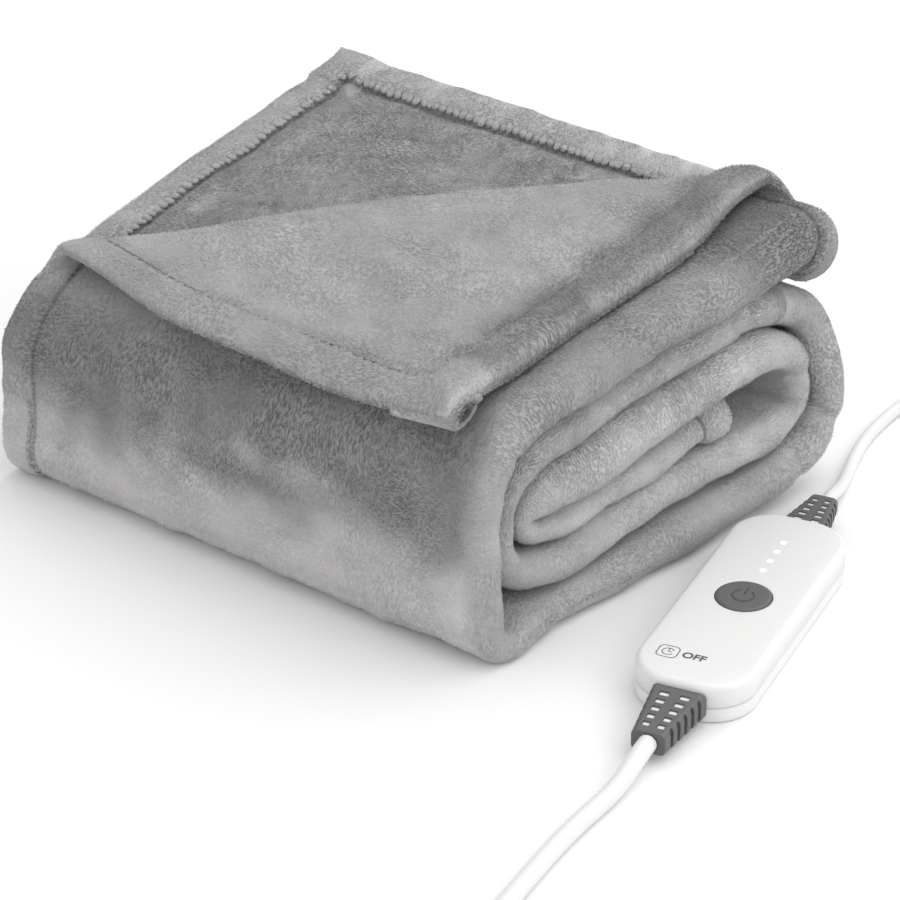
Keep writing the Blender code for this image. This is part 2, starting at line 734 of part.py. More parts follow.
# -------------------------------------------------------------------------- leads
def add_lead(name, route, radius, parts, material):
    """A round lead on a smooth curve through its route."""
    points = np.array(route)
    steps = np.linalg.norm(np.diff(points, axis=0), axis=1)
    stations = np.concatenate([[0.0], np.cumsum(steps)])
    count = round(stations[-1] / (LEAD_STEP * 2 * radius)) + 1
    places, _ = smooth_through(points, stations, np.linspace(0.0, stations[-1], count))
    curve = bpy.data.curves.new(name, "CURVE")
    curve.dimensions = "3D"
    curve.bevel_depth = radius
    curve.bevel_resolution = 3
    curve.use_fill_caps = True
    curve.materials.append(material)
    spline = curve.splines.new("POLY")
    spline.points.add(count - 1)
    for point, place in zip(spline.points, places):
        point.co = (*place, 1.0)
    parts.objects.link(bpy.data.objects.new(name, curve))


def add_coil(name, coil, radius, parts, material):
    """The outer shape of a round coil: a turned ring with a rounded section."""
    inner = coil.turn - coil.beside * radius
    outer = coil.turn + coil.beside * radius
    high = radius * (2 + 1.8 * (coil.layers - 1))
    section = (
        (outer - radius, high),
        (outer - 0.25 * radius, high - 0.3 * radius),
        (outer, high - radius),
        (outer, radius),
        (outer - 0.3 * radius, 0.0),
        (inner + 0.3 * radius, 0.0),
        (inner, radius),
        (inner, high - radius),
        (inner + 0.25 * radius, high - 0.3 * radius),
        (inner + radius, high),
    )
    mesh = bmesh.new()
    points = [mesh.verts.new((x, 0.0, z)) for x, z in section]
    for start, end in zip(points, points[1:] + points[:1]):
        mesh.edges.new((start, end))
    ring = as_object(name, mesh, parts, material)
    ring.location = (coil.x, coil.y, 0.0)
    screw = ring.modifiers.new("turned", "SCREW")
    screw.steps = COIL_STEPS
    screw.render_steps = COIL_STEPS
    screw.use_merge_vertices = True
    screw.merge_threshold = 0.00001


def rounded_section(wide, high, corner, along):
    """Points round a rectangle with round corners, which stands across X."""
    corner = min(corner, 0.45 * min(wide, high))
    points = []
    for quarter in range(4):
        middle_y = (wide / 2 - corner) * (1 if quarter in (0, 3) else -1)
        middle_z = (high / 2 - corner) * (1 if quarter in (0, 1) else -1)
        for step in range(SECTION_STEPS + 1):
            angle = math.pi / 2 * (quarter + step / SECTION_STEPS)
            y = middle_y + corner * math.cos(angle)
            z = middle_z + corner * math.sin(angle)
            points.append(Vector((along, y, z)))
    return points


def add_moulding(name, form, tip, turn, parts, material):
    """A moulded end: a tapered neck on the lead, then a body with eased edges."""
    end = form.neck + form.body
    ease = form.round / 3
    sections = (
        (0.0, form.neck_tip, form.neck_tip),
        (form.neck, form.neck_root, form.neck_root),
        (form.neck + form.body * 0.12, form.wide * 0.82, form.high * 0.93),
        (form.neck + form.body * 0.30, form.wide, form.high),
        (end - ease, form.wide, form.high),
        (end, form.wide - 2 * ease, form.high - 2 * ease),
    )
    mesh = bmesh.new()
    lift = Vector((0.0, 0.0, form.high / 2))
    rings = []
    for along, wide, high in sections:
        points = rounded_section(wide, high, form.round, along)
        rings.append([mesh.verts.new(point + lift) for point in points])
    count = len(rings[0])
    for near, far in zip(rings, rings[1:]):
        for i in range(count):
            j = (i + 1) % count
            mesh.faces.new((near[i], near[j], far[j], far[i]))
    mesh.faces.new(rings[0])
    mesh.faces.new(rings[-1])
    bmesh.ops.recalc_face_normals(mesh, faces=mesh.faces[:])
    body = as_object(name, mesh, parts, material)
    body.location = (tip.x, tip.y, 0.0)
    body.rotation_euler.z = turn
    shade(body)
    return body


def add_plug(parts, material, metal):
    """A mains plug with two flat blades."""
    add_moulding("mains_plug", PLUG, PLUG_TIP, PLUG_TURN, parts, material)
    face = PLUG.neck + PLUG.body + GAP
    for number, side in enumerate((-1, 1), start=1):
        mesh = bmesh.new()
        size = (BLADE_LENGTH, BLADE_THICK, BLADE_HEIGHT)
        centre = (face + BLADE_LENGTH / 2, side * BLADE_APART / 2, PLUG.high / 2)
        add_box(mesh, size, centre)
        round_edges(
            mesh,
            lambda at, way: at.x > face + BLADE_LENGTH * 0.9 and abs(way.y) > 0.9,
            BLADE_HEIGHT * 0.3,
            2,
        )
        blade = as_object(f"mains_blade_{number}", mesh, parts, metal)
        blade.location = (PLUG_TIP.x, PLUG_TIP.y, 0.0)
        blade.rotation_euler.z = PLUG_TURN


def add_connector(parts, cutters, material):
    """The blanket lead's connector, with three sockets in its end."""
    body = add_moulding(
        "blanket_connector", CONNECTOR, CONNECTOR_TIP, CONNECTOR_TURN, parts, material
    )
    mesh = bmesh.new()
    face = CONNECTOR.neck + CONNECTOR.body
    for side in (-1, 0, 1):
        centre = (face, side * SOCKET_APART, CONNECTOR.high / 2)
        add_box(mesh, (2 * SOCKET_DEPTH, SOCKET_SIZE, SOCKET_SIZE), centre)
    cutter = as_object("sockets", mesh, cutters)
    cutter.location = body.location
    cutter.rotation_euler.z = CONNECTOR_TURN
    cut(body, cutter)


def main():
    """Build the whole part."""
    remove_everything()
    parts = bpy.data.collections.new("heated_throw")
    cutters = bpy.data.collections.new("cutters")
    for group in (parts, cutters):
        bpy.context.scene.collection.children.link(group)

    blanket = bpy.data.objects.new("blanket", blanket_mesh())
    blanket.data.materials.append(plastic("grey_plush", (0.30, 0.30, 0.31), 0.95))
    parts.objects.link(blanket)

    white = plastic("white_plastic", (0.86, 0.86, 0.86), 0.35)
    grey = plastic("grey_rubber", (0.11, 0.11, 0.11), 0.55)
    clear = plastic("light_lens", (0.95, 0.95, 0.92), 0.20)
    add_controller(parts, cutters, white, grey, clear)
    end = CONTROL_LENGTH / 2 + GAP
    foot = on_control(-end, z=LEAD_Z)
    turn = CONTROL_TURN + math.pi
    add_relief("mains_relief", LOWER_RELIEF, foot, turn, parts, cutters, grey)
    foot = on_control(end, z=LEAD_Z)
    turn = CONTROL_TURN
    add_relief("blanket_relief", UPPER_RELIEF, foot, turn, parts, cutters, grey)

    sheath = plastic("white_sheath", (0.84, 0.84, 0.83), 0.45)
    add_lead("mains_lead", MAINS_ROUTE, MAINS_RADIUS, parts, sheath)
    add_coil("mains_coil", MAINS_COIL, MAINS_RADIUS, parts, sheath)
    add_plug(parts, sheath, plastic("nickel", (0.70, 0.68, 0.64), 0.25, 1.0))
    add_lead("blanket_lead", BLANKET_LEAD_ROUTE, BLANKET_LEAD_RADIUS, parts, sheath)
    add_coil("blanket_lead_coil", BLANKET_LEAD_COIL, BLANKET_LEAD_RADIUS, parts, sheath)
    add_connector(parts, cutters, grey)


main()
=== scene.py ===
"""Visual model of an electric heated throw: a plush blanket folded in four, rolled
up and with one corner turned back, and its hand controller with its two leads.

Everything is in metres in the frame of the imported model: +Z up, +X along the roll
towards the end that shows the turns, -Y towards its front wall.
"""

import logging
import math
from dataclasses import dataclass, field
from enum import Enum
from typing import NamedTuple, Sequence

import bmesh
import bpy
import numpy as np
from mathutils import Matrix, Vector


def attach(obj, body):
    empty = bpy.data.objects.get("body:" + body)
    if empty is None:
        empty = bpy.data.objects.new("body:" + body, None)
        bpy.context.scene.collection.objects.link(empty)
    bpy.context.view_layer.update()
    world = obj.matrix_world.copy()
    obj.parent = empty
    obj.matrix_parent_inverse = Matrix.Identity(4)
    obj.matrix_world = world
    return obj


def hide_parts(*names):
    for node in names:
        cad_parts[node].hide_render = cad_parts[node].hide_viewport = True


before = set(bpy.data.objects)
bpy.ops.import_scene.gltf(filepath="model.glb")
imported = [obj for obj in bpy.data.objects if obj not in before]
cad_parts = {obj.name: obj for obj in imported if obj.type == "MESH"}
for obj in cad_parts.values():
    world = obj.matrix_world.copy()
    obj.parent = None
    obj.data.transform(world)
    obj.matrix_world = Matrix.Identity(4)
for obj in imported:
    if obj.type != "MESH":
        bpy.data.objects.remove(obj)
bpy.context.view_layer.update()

logging.basicConfig(level=logging.INFO, format="%(name)s: %(message)s")
LOG = logging.getLogger("heated_throw")

Array = np.ndarray
Colour = tuple[float, float, float]
Place = tuple[float, float]
Piece = bpy.types.Object
Material = bpy.types.Material
Socket = bpy.types.NodeSocket

WELD = 1e-6  # points closer than this are one


# ------------------------------------------------------------------ small tools
def smooth(t: Array) -> Array:
    """Ease from 0 to 1 with level ends: 3t^2 - 2t^3 of t held between 0 and 1."""
    t = np.clip(t, 0.0, 1.0)
    return t * t * (3.0 - 2.0 * t)


def bump_at(distance: Array, width: float) -> Array:
    """A soft ridge, 1 at distance 0, which fades as a Gaussian of that width."""
    return np.exp(-((distance / width) ** 2))


def ripple(a: Array, b: Array, size: float, seed: int, waves: int = 7) -> Array:
    """Smooth uneven waves: the mean of sines that run in seeded directions.

    Args:
        a: First coordinate, in metres.
        b: Second coordinate, in metres.
        size: Mean wavelength, in metres.
        seed: Picks directions, wavelengths and phases.
        waves: How many sines are added.

    Returns:
        Values of about -1 to 1, shaped as a and b.
    """
    draw = np.random.default_rng(seed)
    total = np.zeros(np.broadcast(a, b).shape)
    for _ in range(waves):
        turn = draw.uniform(0.0, math.pi)
        rate = math.tau / (size * draw.uniform(0.65, 1.5))
        phase = draw.uniform(0.0, math.tau)
        total += np.sin(rate * (a * math.cos(turn) + b * math.sin(turn)) + phase)
    return total / math.sqrt(waves)


def unit(rows: Array) -> Array:
    """Vectors, one to a row, at length 1."""
    return rows / np.maximum(np.linalg.norm(rows, axis=1, keepdims=True), 1e-12)


def smooth_through(values: Array, stations: Array, at: Array) -> tuple[Array, Array]:
    """Cubic through table rows, whose slope at a row is its neighbours' parabola's.

    Args:
        values: One row for each station.
        stations: Rising stations of the rows.
        at: Where to read the curve.

    Returns:
        The places, and the headings (not of unit length).
    """
    gaps = np.diff(stations)[:, None]
    rates = np.diff(values, axis=0) / gaps
    left, right = gaps[:-1], gaps[1:]
    inner = (rates[:-1] * right + rates[1:] * left) / (left + right)
    slopes = np.concatenate([rates[:1], inner, rates[-1:]])
    i = np.clip(np.searchsorted(stations, at, side="right") - 1, 0, len(stations) - 2)
    gap = (stations[i + 1] - stations[i])[:, None]
    t = (at - stations[i])[:, None] / gap
    a, b, ma, mb = values[i], values[i + 1], slopes[i] * gap, slopes[i + 1] * gap
    place = (
        (2 * t**3 - 3 * t**2 + 1) * a
        + (t**3 - 2 * t**2 + t) * ma
        + (3 * t**2 - 2 * t**3) * b
        + (t**3 - t**2) * mb
    )
    heading = (
        (6 * t**2 - 6 * t) * a
        + (3 * t**2 - 4 * t + 1) * ma
        + (6 * t - 6 * t**2) * b
        + (3 * t**2 - 2 * t) * mb
    )
    return place, heading


def arc_stations(points: Array) -> Array:
    """Distance along a row of points, from the first."""
    steps = np.linalg.norm(np.diff(points, axis=0), axis=1)
    return np.concatenate([[0.0], np.cumsum(steps)])


def put(name: str, data: bpy.types.ID) -> Piece:
    """Put a mesh, curve, light or camera into the scene as an object at the origin."""
    piece = bpy.data.objects.new(name, data)
    bpy.context.scene.collection.objects.link(piece)
    return piece


def make_mesh(name: str, places: Array, faces: Array, uv: Array | None = None) -> Piece:
    """Put arrays of points and faces into a new object, smooth shaded.

    Args:
        name: Name of the piece.
        places: (n, 3) points.
        faces: (m, 3) or (m, 4) corner numbers.
        uv: (n, 2) value of each point, or (m, 3, 2) of each face's corners, for the
            UV map "Cut", in metres.

    Returns:
        The object, linked at the origin.
    """
    mesh = bpy.data.meshes.new(name)
    mesh.from_pydata(places.tolist(), [], faces.tolist())
    mesh.polygons.foreach_set("use_smooth", np.ones(len(mesh.polygons), bool))
    if uv is not None:
        of_corners = uv if uv.ndim == 3 else uv[faces]
        layer = mesh.uv_layers.new(name="Cut")
        layer.data.foreach_set("uv", of_corners.astype(np.float32).ravel())
    mesh.update()
    return put(name, mesh)


def keep_brush_and_shade(piece: Piece, lightness: Array) -> None:
    """Keep each point's lightness, from 0 to 1, in a point attribute: the pile's nap, with painted
    shade and painted light.
    """
    layer = piece.data.attributes.new("Brush", "FLOAT", "POINT")
    layer.data.foreach_set("value", lightness.astype(np.float32))


def close_up(piece: Piece, weld: bool = False) -> None:
    """Turn a closed mesh's faces outwards, after a weld of its doubled points."""
    mesh = bmesh.new()
    mesh.from_mesh(piece.data)
    if weld:
        bmesh.ops.remove_doubles(mesh, verts=mesh.verts[:], dist=WELD)
    bmesh.ops.recalc_face_normals(mesh, faces=mesh.faces[:])
    mesh.to_mesh(piece.data)
    mesh.free()


def join(first: Piece, *others: Piece) -> Piece:
    """Join meshes into the first and remove the others."""
    mesh = bmesh.new()
    for piece in (first, *others):
        mesh.from_mesh(piece.data)
    mesh.to_mesh(first.data)
    mesh.free()
    for piece in others:
        bpy.data.objects.remove(piece)
    return first


def grid_faces(rows: int, columns: int, closed: bool = True) -> Array:
    """Quads of a grid of points, joined round its columns where closed.

    Args:
        rows: Number of rows of points.
        columns: Number of points in a row.
        closed: Whether the last column joins the first.

    Returns:
        (m, 4) corner numbers.
    """
    last = columns if closed else columns - 1
    row, column = np.meshgrid(np.arange(rows - 1), np.arange(last), indexing="ij")
    after = (column + 1) % columns
    corners = [row * columns + column, row * columns + after]
    corners += [(row + 1) * columns + after, (row + 1) * columns + column]
    return np.stack(corners, axis=-1).reshape(-1, 4)


def loft(name: str, rings: Array) -> Piece:
    """Skin a pile of rings, each drawn to a point at both ends so that it is closed.

    Args:
        name: Name of the piece.
        rings: (rings, points, 3) places; ring after ring along the piece.

    Returns:
        The closed object.
    """
    first, last = (
        np.repeat(ring.mean(axis=1, keepdims=True), rings.shape[1], 1)
        for ring in (rings[:1], rings[-1:])
    )
    stack = np.concatenate([first, rings, last])
    piece = make_mesh(name, stack.reshape(-1, 3), grid_faces(*stack.shape[:2]))
    close_up(piece, weld=True)
    return piece


def round_box_ring(length: float, width: float, corner: float, steps: int) -> Array:
    """Outline of a rectangle with round corners: four quarter circles, joined.

    Args:
        length: Size along the first axis.
        width: Size along the second axis.
        corner: Corner radius.
        steps: Steps in each corner.

    Returns:
        (4 * (steps + 1), 2) points, anticlockwise from the first axis.
    """
    corner = min(corner, 0.499 * min(length, width))
    turn = np.arange(4)[:, None] * (math.pi / 2)
    angle = turn + np.linspace(0.0, math.pi / 2, steps + 1)[None, :]
    side = np.array([[1, 1], [-1, 1], [-1, -1], [1, -1]], float)
    middle = side * [length / 2 - corner, width / 2 - corner]
    ring = middle[:, None, :] + corner * np.stack([np.cos(angle), np.sin(angle)], -1)
    return ring.reshape(-1, 2)


def fill_sides(ring: Array, count: int) -> Array:
    """Add points to a four-cornered ring's straight sides, at even angles as seen
    from its middle, so that a circle inside it is round too.

    Args:
        ring: (n, 2) points, the corners' equal shares one after another.
        count: Points to add to each side.

    Returns:
        (n + 4 * count, 2) points.
    """
    corners = ring.reshape(4, -1, 2)
    parts = []
    for corner, after in zip(corners, np.roll(corners, -1, axis=0)):
        start, run = corner[-1], after[0] - corner[-1]
        first = math.atan2(start[1], start[0])
        turn = (math.atan2(after[0][1], after[0][0]) - first) % (math.tau)
        angle = first + turn * np.linspace(0.0, 1.0, count + 2)[1:-1]
        way = np.stack([np.cos(angle), np.sin(angle)], axis=1)
        share = start[1] * way[:, 0] - start[0] * way[:, 1]
        share = share / (run[0] * way[:, 1] - run[1] * way[:, 0])
        parts += [corner, start + share[:, None] * run]
    return np.concatenate(parts)


def circle(radius: float, z: float, count: int) -> Array:
    """Points of a level circle round the Z axis."""
    angle = np.linspace(0.0, math.tau, count + 1)[:-1]
    return np.stack([radius * np.cos(angle), radius * np.sin(angle), np.full(count, z)], axis=1)


def at_height(line: Array, z: float) -> Array:
    """Level (n, 2) points at one height, as (n, 3)."""
    return np.concatenate([line, np.full((len(line), 1), z)], axis=1)


def turned_to(local: Array, turn: float, at: Place) -> Array:
    """Turn points about Z by an angle, then move them over the floor."""
    cos, sin = math.cos(turn), math.sin(turn)
    x = local[..., 0] * cos - local[..., 1] * sin + at[0]
    y = local[..., 0] * sin + local[..., 1] * cos + at[1]
    return np.stack([x, y, local[..., 2]], axis=-1)


def fit(piece: Piece, body: str, slot: str, material: Material, *nodes: str) -> Piece:
    """Dress a piece and let it ride on its body, in place of its CAD nodes.

    Args:
        piece: The piece.
        body: Name of the body that it moves with.
        slot: Name of its material slot in the record; not used.
        material: Its finish.
        *nodes: The CAD nodes that it takes the place of.

    Returns:
        The piece.
    """
    piece.data.materials.clear()
    piece.data.materials.append(material)
    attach(piece, body)
    if nodes:
        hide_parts(*nodes)
    LOG.info("%s rides on %s", piece.name, body)
    return piece


# ----------------------------------------------------------------- shader tools
@dataclass
class Wiring:
    """A tree of shader nodes, wired by short calls."""

    tree: bpy.types.NodeTree

    @classmethod
    def group(cls, name: str, inputs: dict[str, float | None], outputs: Sequence[str]) -> "Wiring":
        """Start a shader group with named sockets.

        Args:
            name: Name of the group.
            inputs: Value of each input, or None for a vector.
            outputs: Names of the outputs, all single values.

        Returns:
            The group, with its input and output nodes named In and Out.
        """
        tree = bpy.data.node_groups.new(name, "ShaderNodeTree")
        for label, value in inputs.items():
            kind = "NodeSocketVector" if value is None else "NodeSocketFloat"
            socket = tree.interface.new_socket(label, in_out="INPUT", socket_type=kind)
            if value is not None:
                socket.default_value = value
        for label in outputs:
            tree.interface.new_socket(label, in_out="OUTPUT", socket_type="NodeSocketFloat")
        wiring = cls(tree)
        wiring.node("NodeGroupInput", name="In")
        wiring.node("NodeGroupOutput", name="Out")
        return wiring

    @property
    def given(self) -> Sequence[Socket]:
        """What the group is given."""
        return self.tree.nodes["In"].outputs

    def feed(self, node: bpy.types.Node, inputs: dict) -> None:
        """Give a node's inputs, named or numbered, a value or another's output."""
        for key, value in inputs.items():
            if isinstance(value, Socket):
                self.tree.links.new(value, node.inputs[key])
            else:
                node.inputs[key].default_value = value

    def node(self, kind: str, inputs: dict | None = None, **settings) -> Sequence[Socket]:
        """Add a node.

        Args:
            kind: Blender's name of the node.
            inputs: As for feed.
            **settings: Attributes of the node.

        Returns:
            Its outputs.
        """
        node = self.tree.nodes.new(kind)
        for key, value in settings.items():
            setattr(node, key, value)
        self.feed(node, inputs or {})
        return node.outputs

    def maths(self, operation: str, *values: Socket | float) -> Socket:
        """That operation on those values."""
        return self.node("ShaderNodeMath", dict(enumerate(values)), operation=operation)[0]

    def vectors(self, operation: str, *values: Socket | Colour) -> Socket:
        """That operation on those vectors."""
        return self.node("ShaderNodeVectorMath", dict(enumerate(values)), operation=operation)[0]

    def ramp(self, value: Socket, low: float, high: float) -> Socket:
        """The value's way from low to high, smoothly from 0 to 1."""
        inputs = {"Value": value, "From Min": low, "From Max": high}
        return self.node("ShaderNodeMapRange", inputs, interpolation_type="SMOOTHSTEP")[0]

    def mix(self, share: Socket, first: Colour | Socket, second: Colour) -> Socket:
        """The first colour, mixed with the second by a share from 0 to 1."""
        first, second = (c if isinstance(c, Socket) else (*c, 1.0) for c in (first, second))
        return self.node("ShaderNodeMix", {0: share, 6: first, 7: second}, data_type="RGBA")[2]

    def noise(
        self, vector: Socket, scale: Socket | float, detail: float = 2.0, rough: float = 0.5
    ) -> Sequence[Socket]:
        """A noise texture's value and colour."""
        inputs = {"Vector": vector, "Scale": scale, "Detail": detail, "Roughness": rough}
        return self.node("ShaderNodeTexNoise", inputs)

    def use(self, group: "Wiring", inputs: dict) -> Sequence[Socket]:
        """A shader group's outputs, with these inputs."""
        return self.node("ShaderNodeGroup", inputs, node_tree=group.tree)

    def bump(self, height: Socket, depth: float) -> Socket:
        """The normal of a surface whose height of 0 to 1 is that many metres."""
        inputs = {"Height": height, "Distance": depth, "Strength": 1.0}
        return self.node("ShaderNodeBump", inputs)[0]

    def place(self) -> Socket:
        """The place on the piece, in metres."""
        return self.node("ShaderNodeTexCoord")["Object"]


def pile_group() -> Wiring:
    """Build the plush pile: rows of short strokes that swing, and brushed blotches.

    Returns:
        A group that turns a place on the cloth, in metres, into Height and Shade.
    """
    w = Wiring.group(
        "plush_pile",
        {"Cloth": None, "Stroke pitch": 0.0009, "Blotch size": 0.045},
        ["Height", "Shade"],
    )
    cloth = w.given["Cloth"]
    drift = w.noise(cloth, 26.0, 1.0)[1]
    swing = w.vectors("MULTIPLY", drift, (0.012, 0.012, 0.012))
    moved = w.vectors("ADD", cloth, swing)
    rate = w.maths("DIVIDE", 1.0, w.given["Stroke pitch"])
    strokes = []
    for stretch in ((1.0, 0.40, 1.0), (0.45, 1.0, 1.0)):
        squeezed = w.vectors("MULTIPLY", moved, stretch)
        strokes.append(w.ramp(w.noise(squeezed, rate, 1.5, 0.55)[0], 0.38, 0.58))
    which = w.ramp(w.noise(cloth, 17.0, 1.0)[0], 0.42, 0.58)
    across = w.maths("MULTIPLY", strokes[0], which)
    other = w.maths("MULTIPLY", strokes[1], w.maths("SUBTRACT", 1.0, which))
    combed = w.maths("ADD", across, other)
    stands = w.ramp(w.noise(moved, 21.0, 2.0)[0], 0.36, 0.60)
    strength = w.maths("MULTIPLY_ADD", stands, 0.65, 0.35)
    rows = w.maths("MULTIPLY_ADD", w.maths("SUBTRACT", combed, 0.5), strength, 0.5)
    fine = w.noise(cloth, 1500.0, 2.0)[0]
    coarse_part, fine_part = w.maths("MULTIPLY", rows, 0.60), w.maths("MULTIPLY", fine, 0.40)
    height = w.maths("ADD", coarse_part, fine_part)
    blotch = {"Vector": moved, "Scale": w.maths("DIVIDE", 1.0, w.given["Blotch size"])}
    blotch |= {"Detail": 3.0, "Roughness": 0.55, "Distortion": 0.7}
    shade = w.maths("MULTIPLY", w.ramp(w.node("ShaderNodeTexNoise", blotch)[0], 0.34, 0.68), 0.10)
    middle = w.ramp(w.noise(moved, 95.0, 2.0)[0], 0.3, 0.75)
    for part, weight in ((middle, 0.09), (rows, 0.50), (fine, 0.16)):
        shade = w.maths("MULTIPLY_ADD", part, weight, shade)
    w.feed(w.tree.nodes["Out"], {"Height": height, "Shade": shade})
    return w


def mould_group() -> Wiring:
    """Build moulded grain: a fine spark texture, and slow waves of handling wear.

    Returns:
        A group that turns a place, in metres, into Height and Wear.
    """
    w = Wiring.group("mould_grain", {"Place": None, "Grain size": 0.0006}, ["Height", "Wear"])
    place = w.given["Place"]
    grain = w.noise(place, w.maths("DIVIDE", 1.0, w.given["Grain size"]), 2.0)[0]
    wear = w.ramp(w.noise(place, 60.0, 3.0)[0], 0.35, 0.7)
    w.feed(w.tree.nodes["Out"], {"Height": grain, "Wear": wear})
    return w


# -------------------------------------------------------------------- finishes
def start(name: str) -> tuple[Material, Wiring, bpy.types.Node]:
    """Make a material and return it with its wiring and its Principled shader."""
    material = bpy.data.materials.new(name)
    material.use_nodes = True
    return material, Wiring(material.node_tree), material.node_tree.nodes["Principled BSDF"]


@dataclass(frozen=True)
class PlushFinish:
    """Short-pile grey plush, whose colour follows each point's lightness: the pile's nap, with
    painted shade and painted light.
    """

    group: Wiring
    dark: Colour = (0.130, 0.129, 0.135)
    light: Colour = (0.620, 0.608, 0.604)
    seam: Colour = (0.085, 0.085, 0.088)
    pitch: float = 0.00092
    depth: float = 0.0013
    detail: float = 0.62
    mean_shade: float = 0.425
    stitch_pitch: float = 0.0034
    corner_end: float = 0.225
    ribs_to_metre: float = 66.0

    def on_cut(self, name: str, width: float, length: float, hem: float, turn: float) -> Material:
        """Dress cloth that has the UV map Cut, with a dark stitch line along its hems.

        Args:
            name: Name of the material.
            width: Flat width of the cloth.
            length: Flat length of the cloth.
            hem: Distance from the edge to the stitch line.
            turn: Distance across the cloth from which its first turn shows.

        Returns:
            The material.
        """
        material, w, shader = start(name)
        cut = w.node("ShaderNodeUVMap", uv_map="Cut")[0]
        pile = w.use(self.group, {"Cloth": cut, "Stroke pitch": self.pitch})
        across, along = w.node("ShaderNodeSeparateXYZ", {0: cut})[:2]
        near_side, near_end = (
            w.maths("MINIMUM", at, w.maths("SUBTRACT", size, at))
            for at, size in ((across, width), (along, length))
        )
        outer = w.maths("LESS_THAN", across, width / 2)
        edge = w.maths("MINIMUM", near_side, near_end)
        off_line = w.maths("ABSOLUTE", w.maths("SUBTRACT", edge, hem))
        line = w.maths("SUBTRACT", 1.0, w.ramp(off_line, 0.0002, 0.0015))
        stitch = w.maths("SINE", w.maths("MULTIPLY", along, math.tau / self.stitch_pitch))
        dots = w.maths("MULTIPLY_ADD", w.ramp(stitch, -0.6, 0.6), 0.45, 0.35)
        on_corner = w.maths("MULTIPLY", w.maths("LESS_THAN", along, self.corner_end), outer)
        dots = w.maths("MULTIPLY", dots, w.maths("MULTIPLY_ADD", on_corner, 0.55, 0.35))
        on_turn = w.maths("MULTIPLY", w.maths("GREATER_THAN", across, turn), outer)
        plain = w.maths("MULTIPLY_ADD", on_turn, 0.50, 0.15)
        at_side = w.maths("LESS_THAN", near_side, near_end)
        line = w.maths("MULTIPLY", line, w.maths("MULTIPLY_ADD", at_side, dots, plain))
        ribs = {"Vector": w.node("ShaderNodeCombineXYZ", {1: near_end})[0]}
        ribs |= {"Scale": self.ribs_to_metre, "Distortion": 0.5, "Detail": 1.0}
        wave = w.node("ShaderNodeTexWave", ribs, bands_direction="Y")[1]
        in_strip = w.maths("SUBTRACT", 1.0, w.ramp(near_end, hem * 1.10, hem * 1.45))
        for limit in (w.ramp(along, hem * 0.2, hem * 0.4), outer):
            in_strip = w.maths("MULTIPLY", in_strip, limit)
        ribbed = w.maths("MULTIPLY", wave, in_strip)
        # each point's lightness: the pile's nap, with painted shade and painted light
        brushed = w.node("ShaderNodeAttribute", attribute_name="Brush")["Fac"]
        share = w.maths("SUBTRACT", pile["Shade"], self.mean_shade)
        share = w.maths("MULTIPLY_ADD", share, self.detail, brushed)
        tone = w.mix(line, w.mix(share, self.dark, self.light), self.seam)
        height = w.maths("MULTIPLY_ADD", ribbed, 0.4, pile["Height"])
        self._soften(w, shader, tone, w.maths("SUBTRACT", height, line))
        return material

    def on_place(self, name: str) -> Material:
        """Dress small plush pieces by their place."""
        material, w, shader = start(name)
        pile = w.use(self.group, {"Cloth": w.place(), "Stroke pitch": self.pitch})
        share = w.maths("MULTIPLY_ADD", pile["Shade"], self.detail, 0.22)
        self._soften(w, shader, w.mix(share, self.dark, self.light), pile["Height"])
        return material

    def _soften(self, w: Wiring, shader: bpy.types.Node, tone: Socket, height: Socket) -> None:
        """Set the colour and the soft sheen, and raise the pile."""
        soft = {"Base Color": tone, "Normal": w.bump(height, self.depth), "Roughness": 0.95}
        soft |= {"Specular IOR Level": 0.10, "Sheen Weight": 0.30, "Sheen Roughness": 0.45}
        w.feed(shader, soft | {"Sheen Tint": (0.95, 0.95, 0.97, 1.0)})


@dataclass(frozen=True)
class MouldedFinish:
    """Moulded plastic or rubber with a fine grain, a little duller where handled."""

    group: Wiring
    name: str
    colour: Colour
    roughness: float
    grain: float = 0.0006
    depth: float = 0.00003
    worn: float = 0.985

    def material(self) -> Material:
        """Build the material."""
        material, w, shader = start(self.name)
        mould = w.use(self.group, {"Place": w.place(), "Grain size": self.grain})
        worn = tuple(c * self.worn for c in self.colour)
        look = {
            "Base Color": w.mix(mould["Wear"], self.colour, worn),
            "Roughness": w.maths("MULTIPLY_ADD", mould["Wear"], 0.10, self.roughness),
            "Normal": w.bump(mould["Height"], self.depth),
        }
        w.feed(shader, look)
        return material


@dataclass(frozen=True)
class MetalFinish:
    """Bright plated metal with faint drawing lines."""

    group: Wiring
    name: str
    colour: Colour
    roughness: float

    def material(self) -> Material:
        """Build the material."""
        material, w, shader = start(self.name)
        drawn = w.node("ShaderNodeMapping", {"Vector": w.place(), "Scale": (0.1, 1.0, 1.0)})[0]
        mould = w.use(self.group, {"Place": drawn, "Grain size": 0.0004})
        look = {
            "Metallic": 1.0,
            "Roughness": w.maths("MULTIPLY_ADD", mould["Height"], 0.2, self.roughness),
            "Base Color": w.mix(mould["Wear"], self.colour, tuple(c * 0.8 for c in self.colour)),
        }
        w.feed(shader, look)
        return material


@dataclass(frozen=True)
class LensFinish:
    """A lit lens: milky plastic with its own faint glow."""

    name: str
    colour: Colour
    glow: float

    def material(self) -> Material:
        """Build the material."""
        material, w, shader = start(self.name)
        cloud = w.noise(w.place(), 900.0)[0]
        tone = w.mix(cloud, self.colour, tuple(c * 0.93 for c in self.colour))
        look = {"Base Color": tone, "Emission Color": tone}
        w.feed(shader, look | {"Roughness": 0.15, "Emission Strength": self.glow})
        return material


# --------------------------------------------------------------------- the throw
class Turn(NamedTuple):
    """A row of the roll's middle line: where it is, how thick, and its near reach."""

    y: float
    z: float
    thick: float
    reach: float


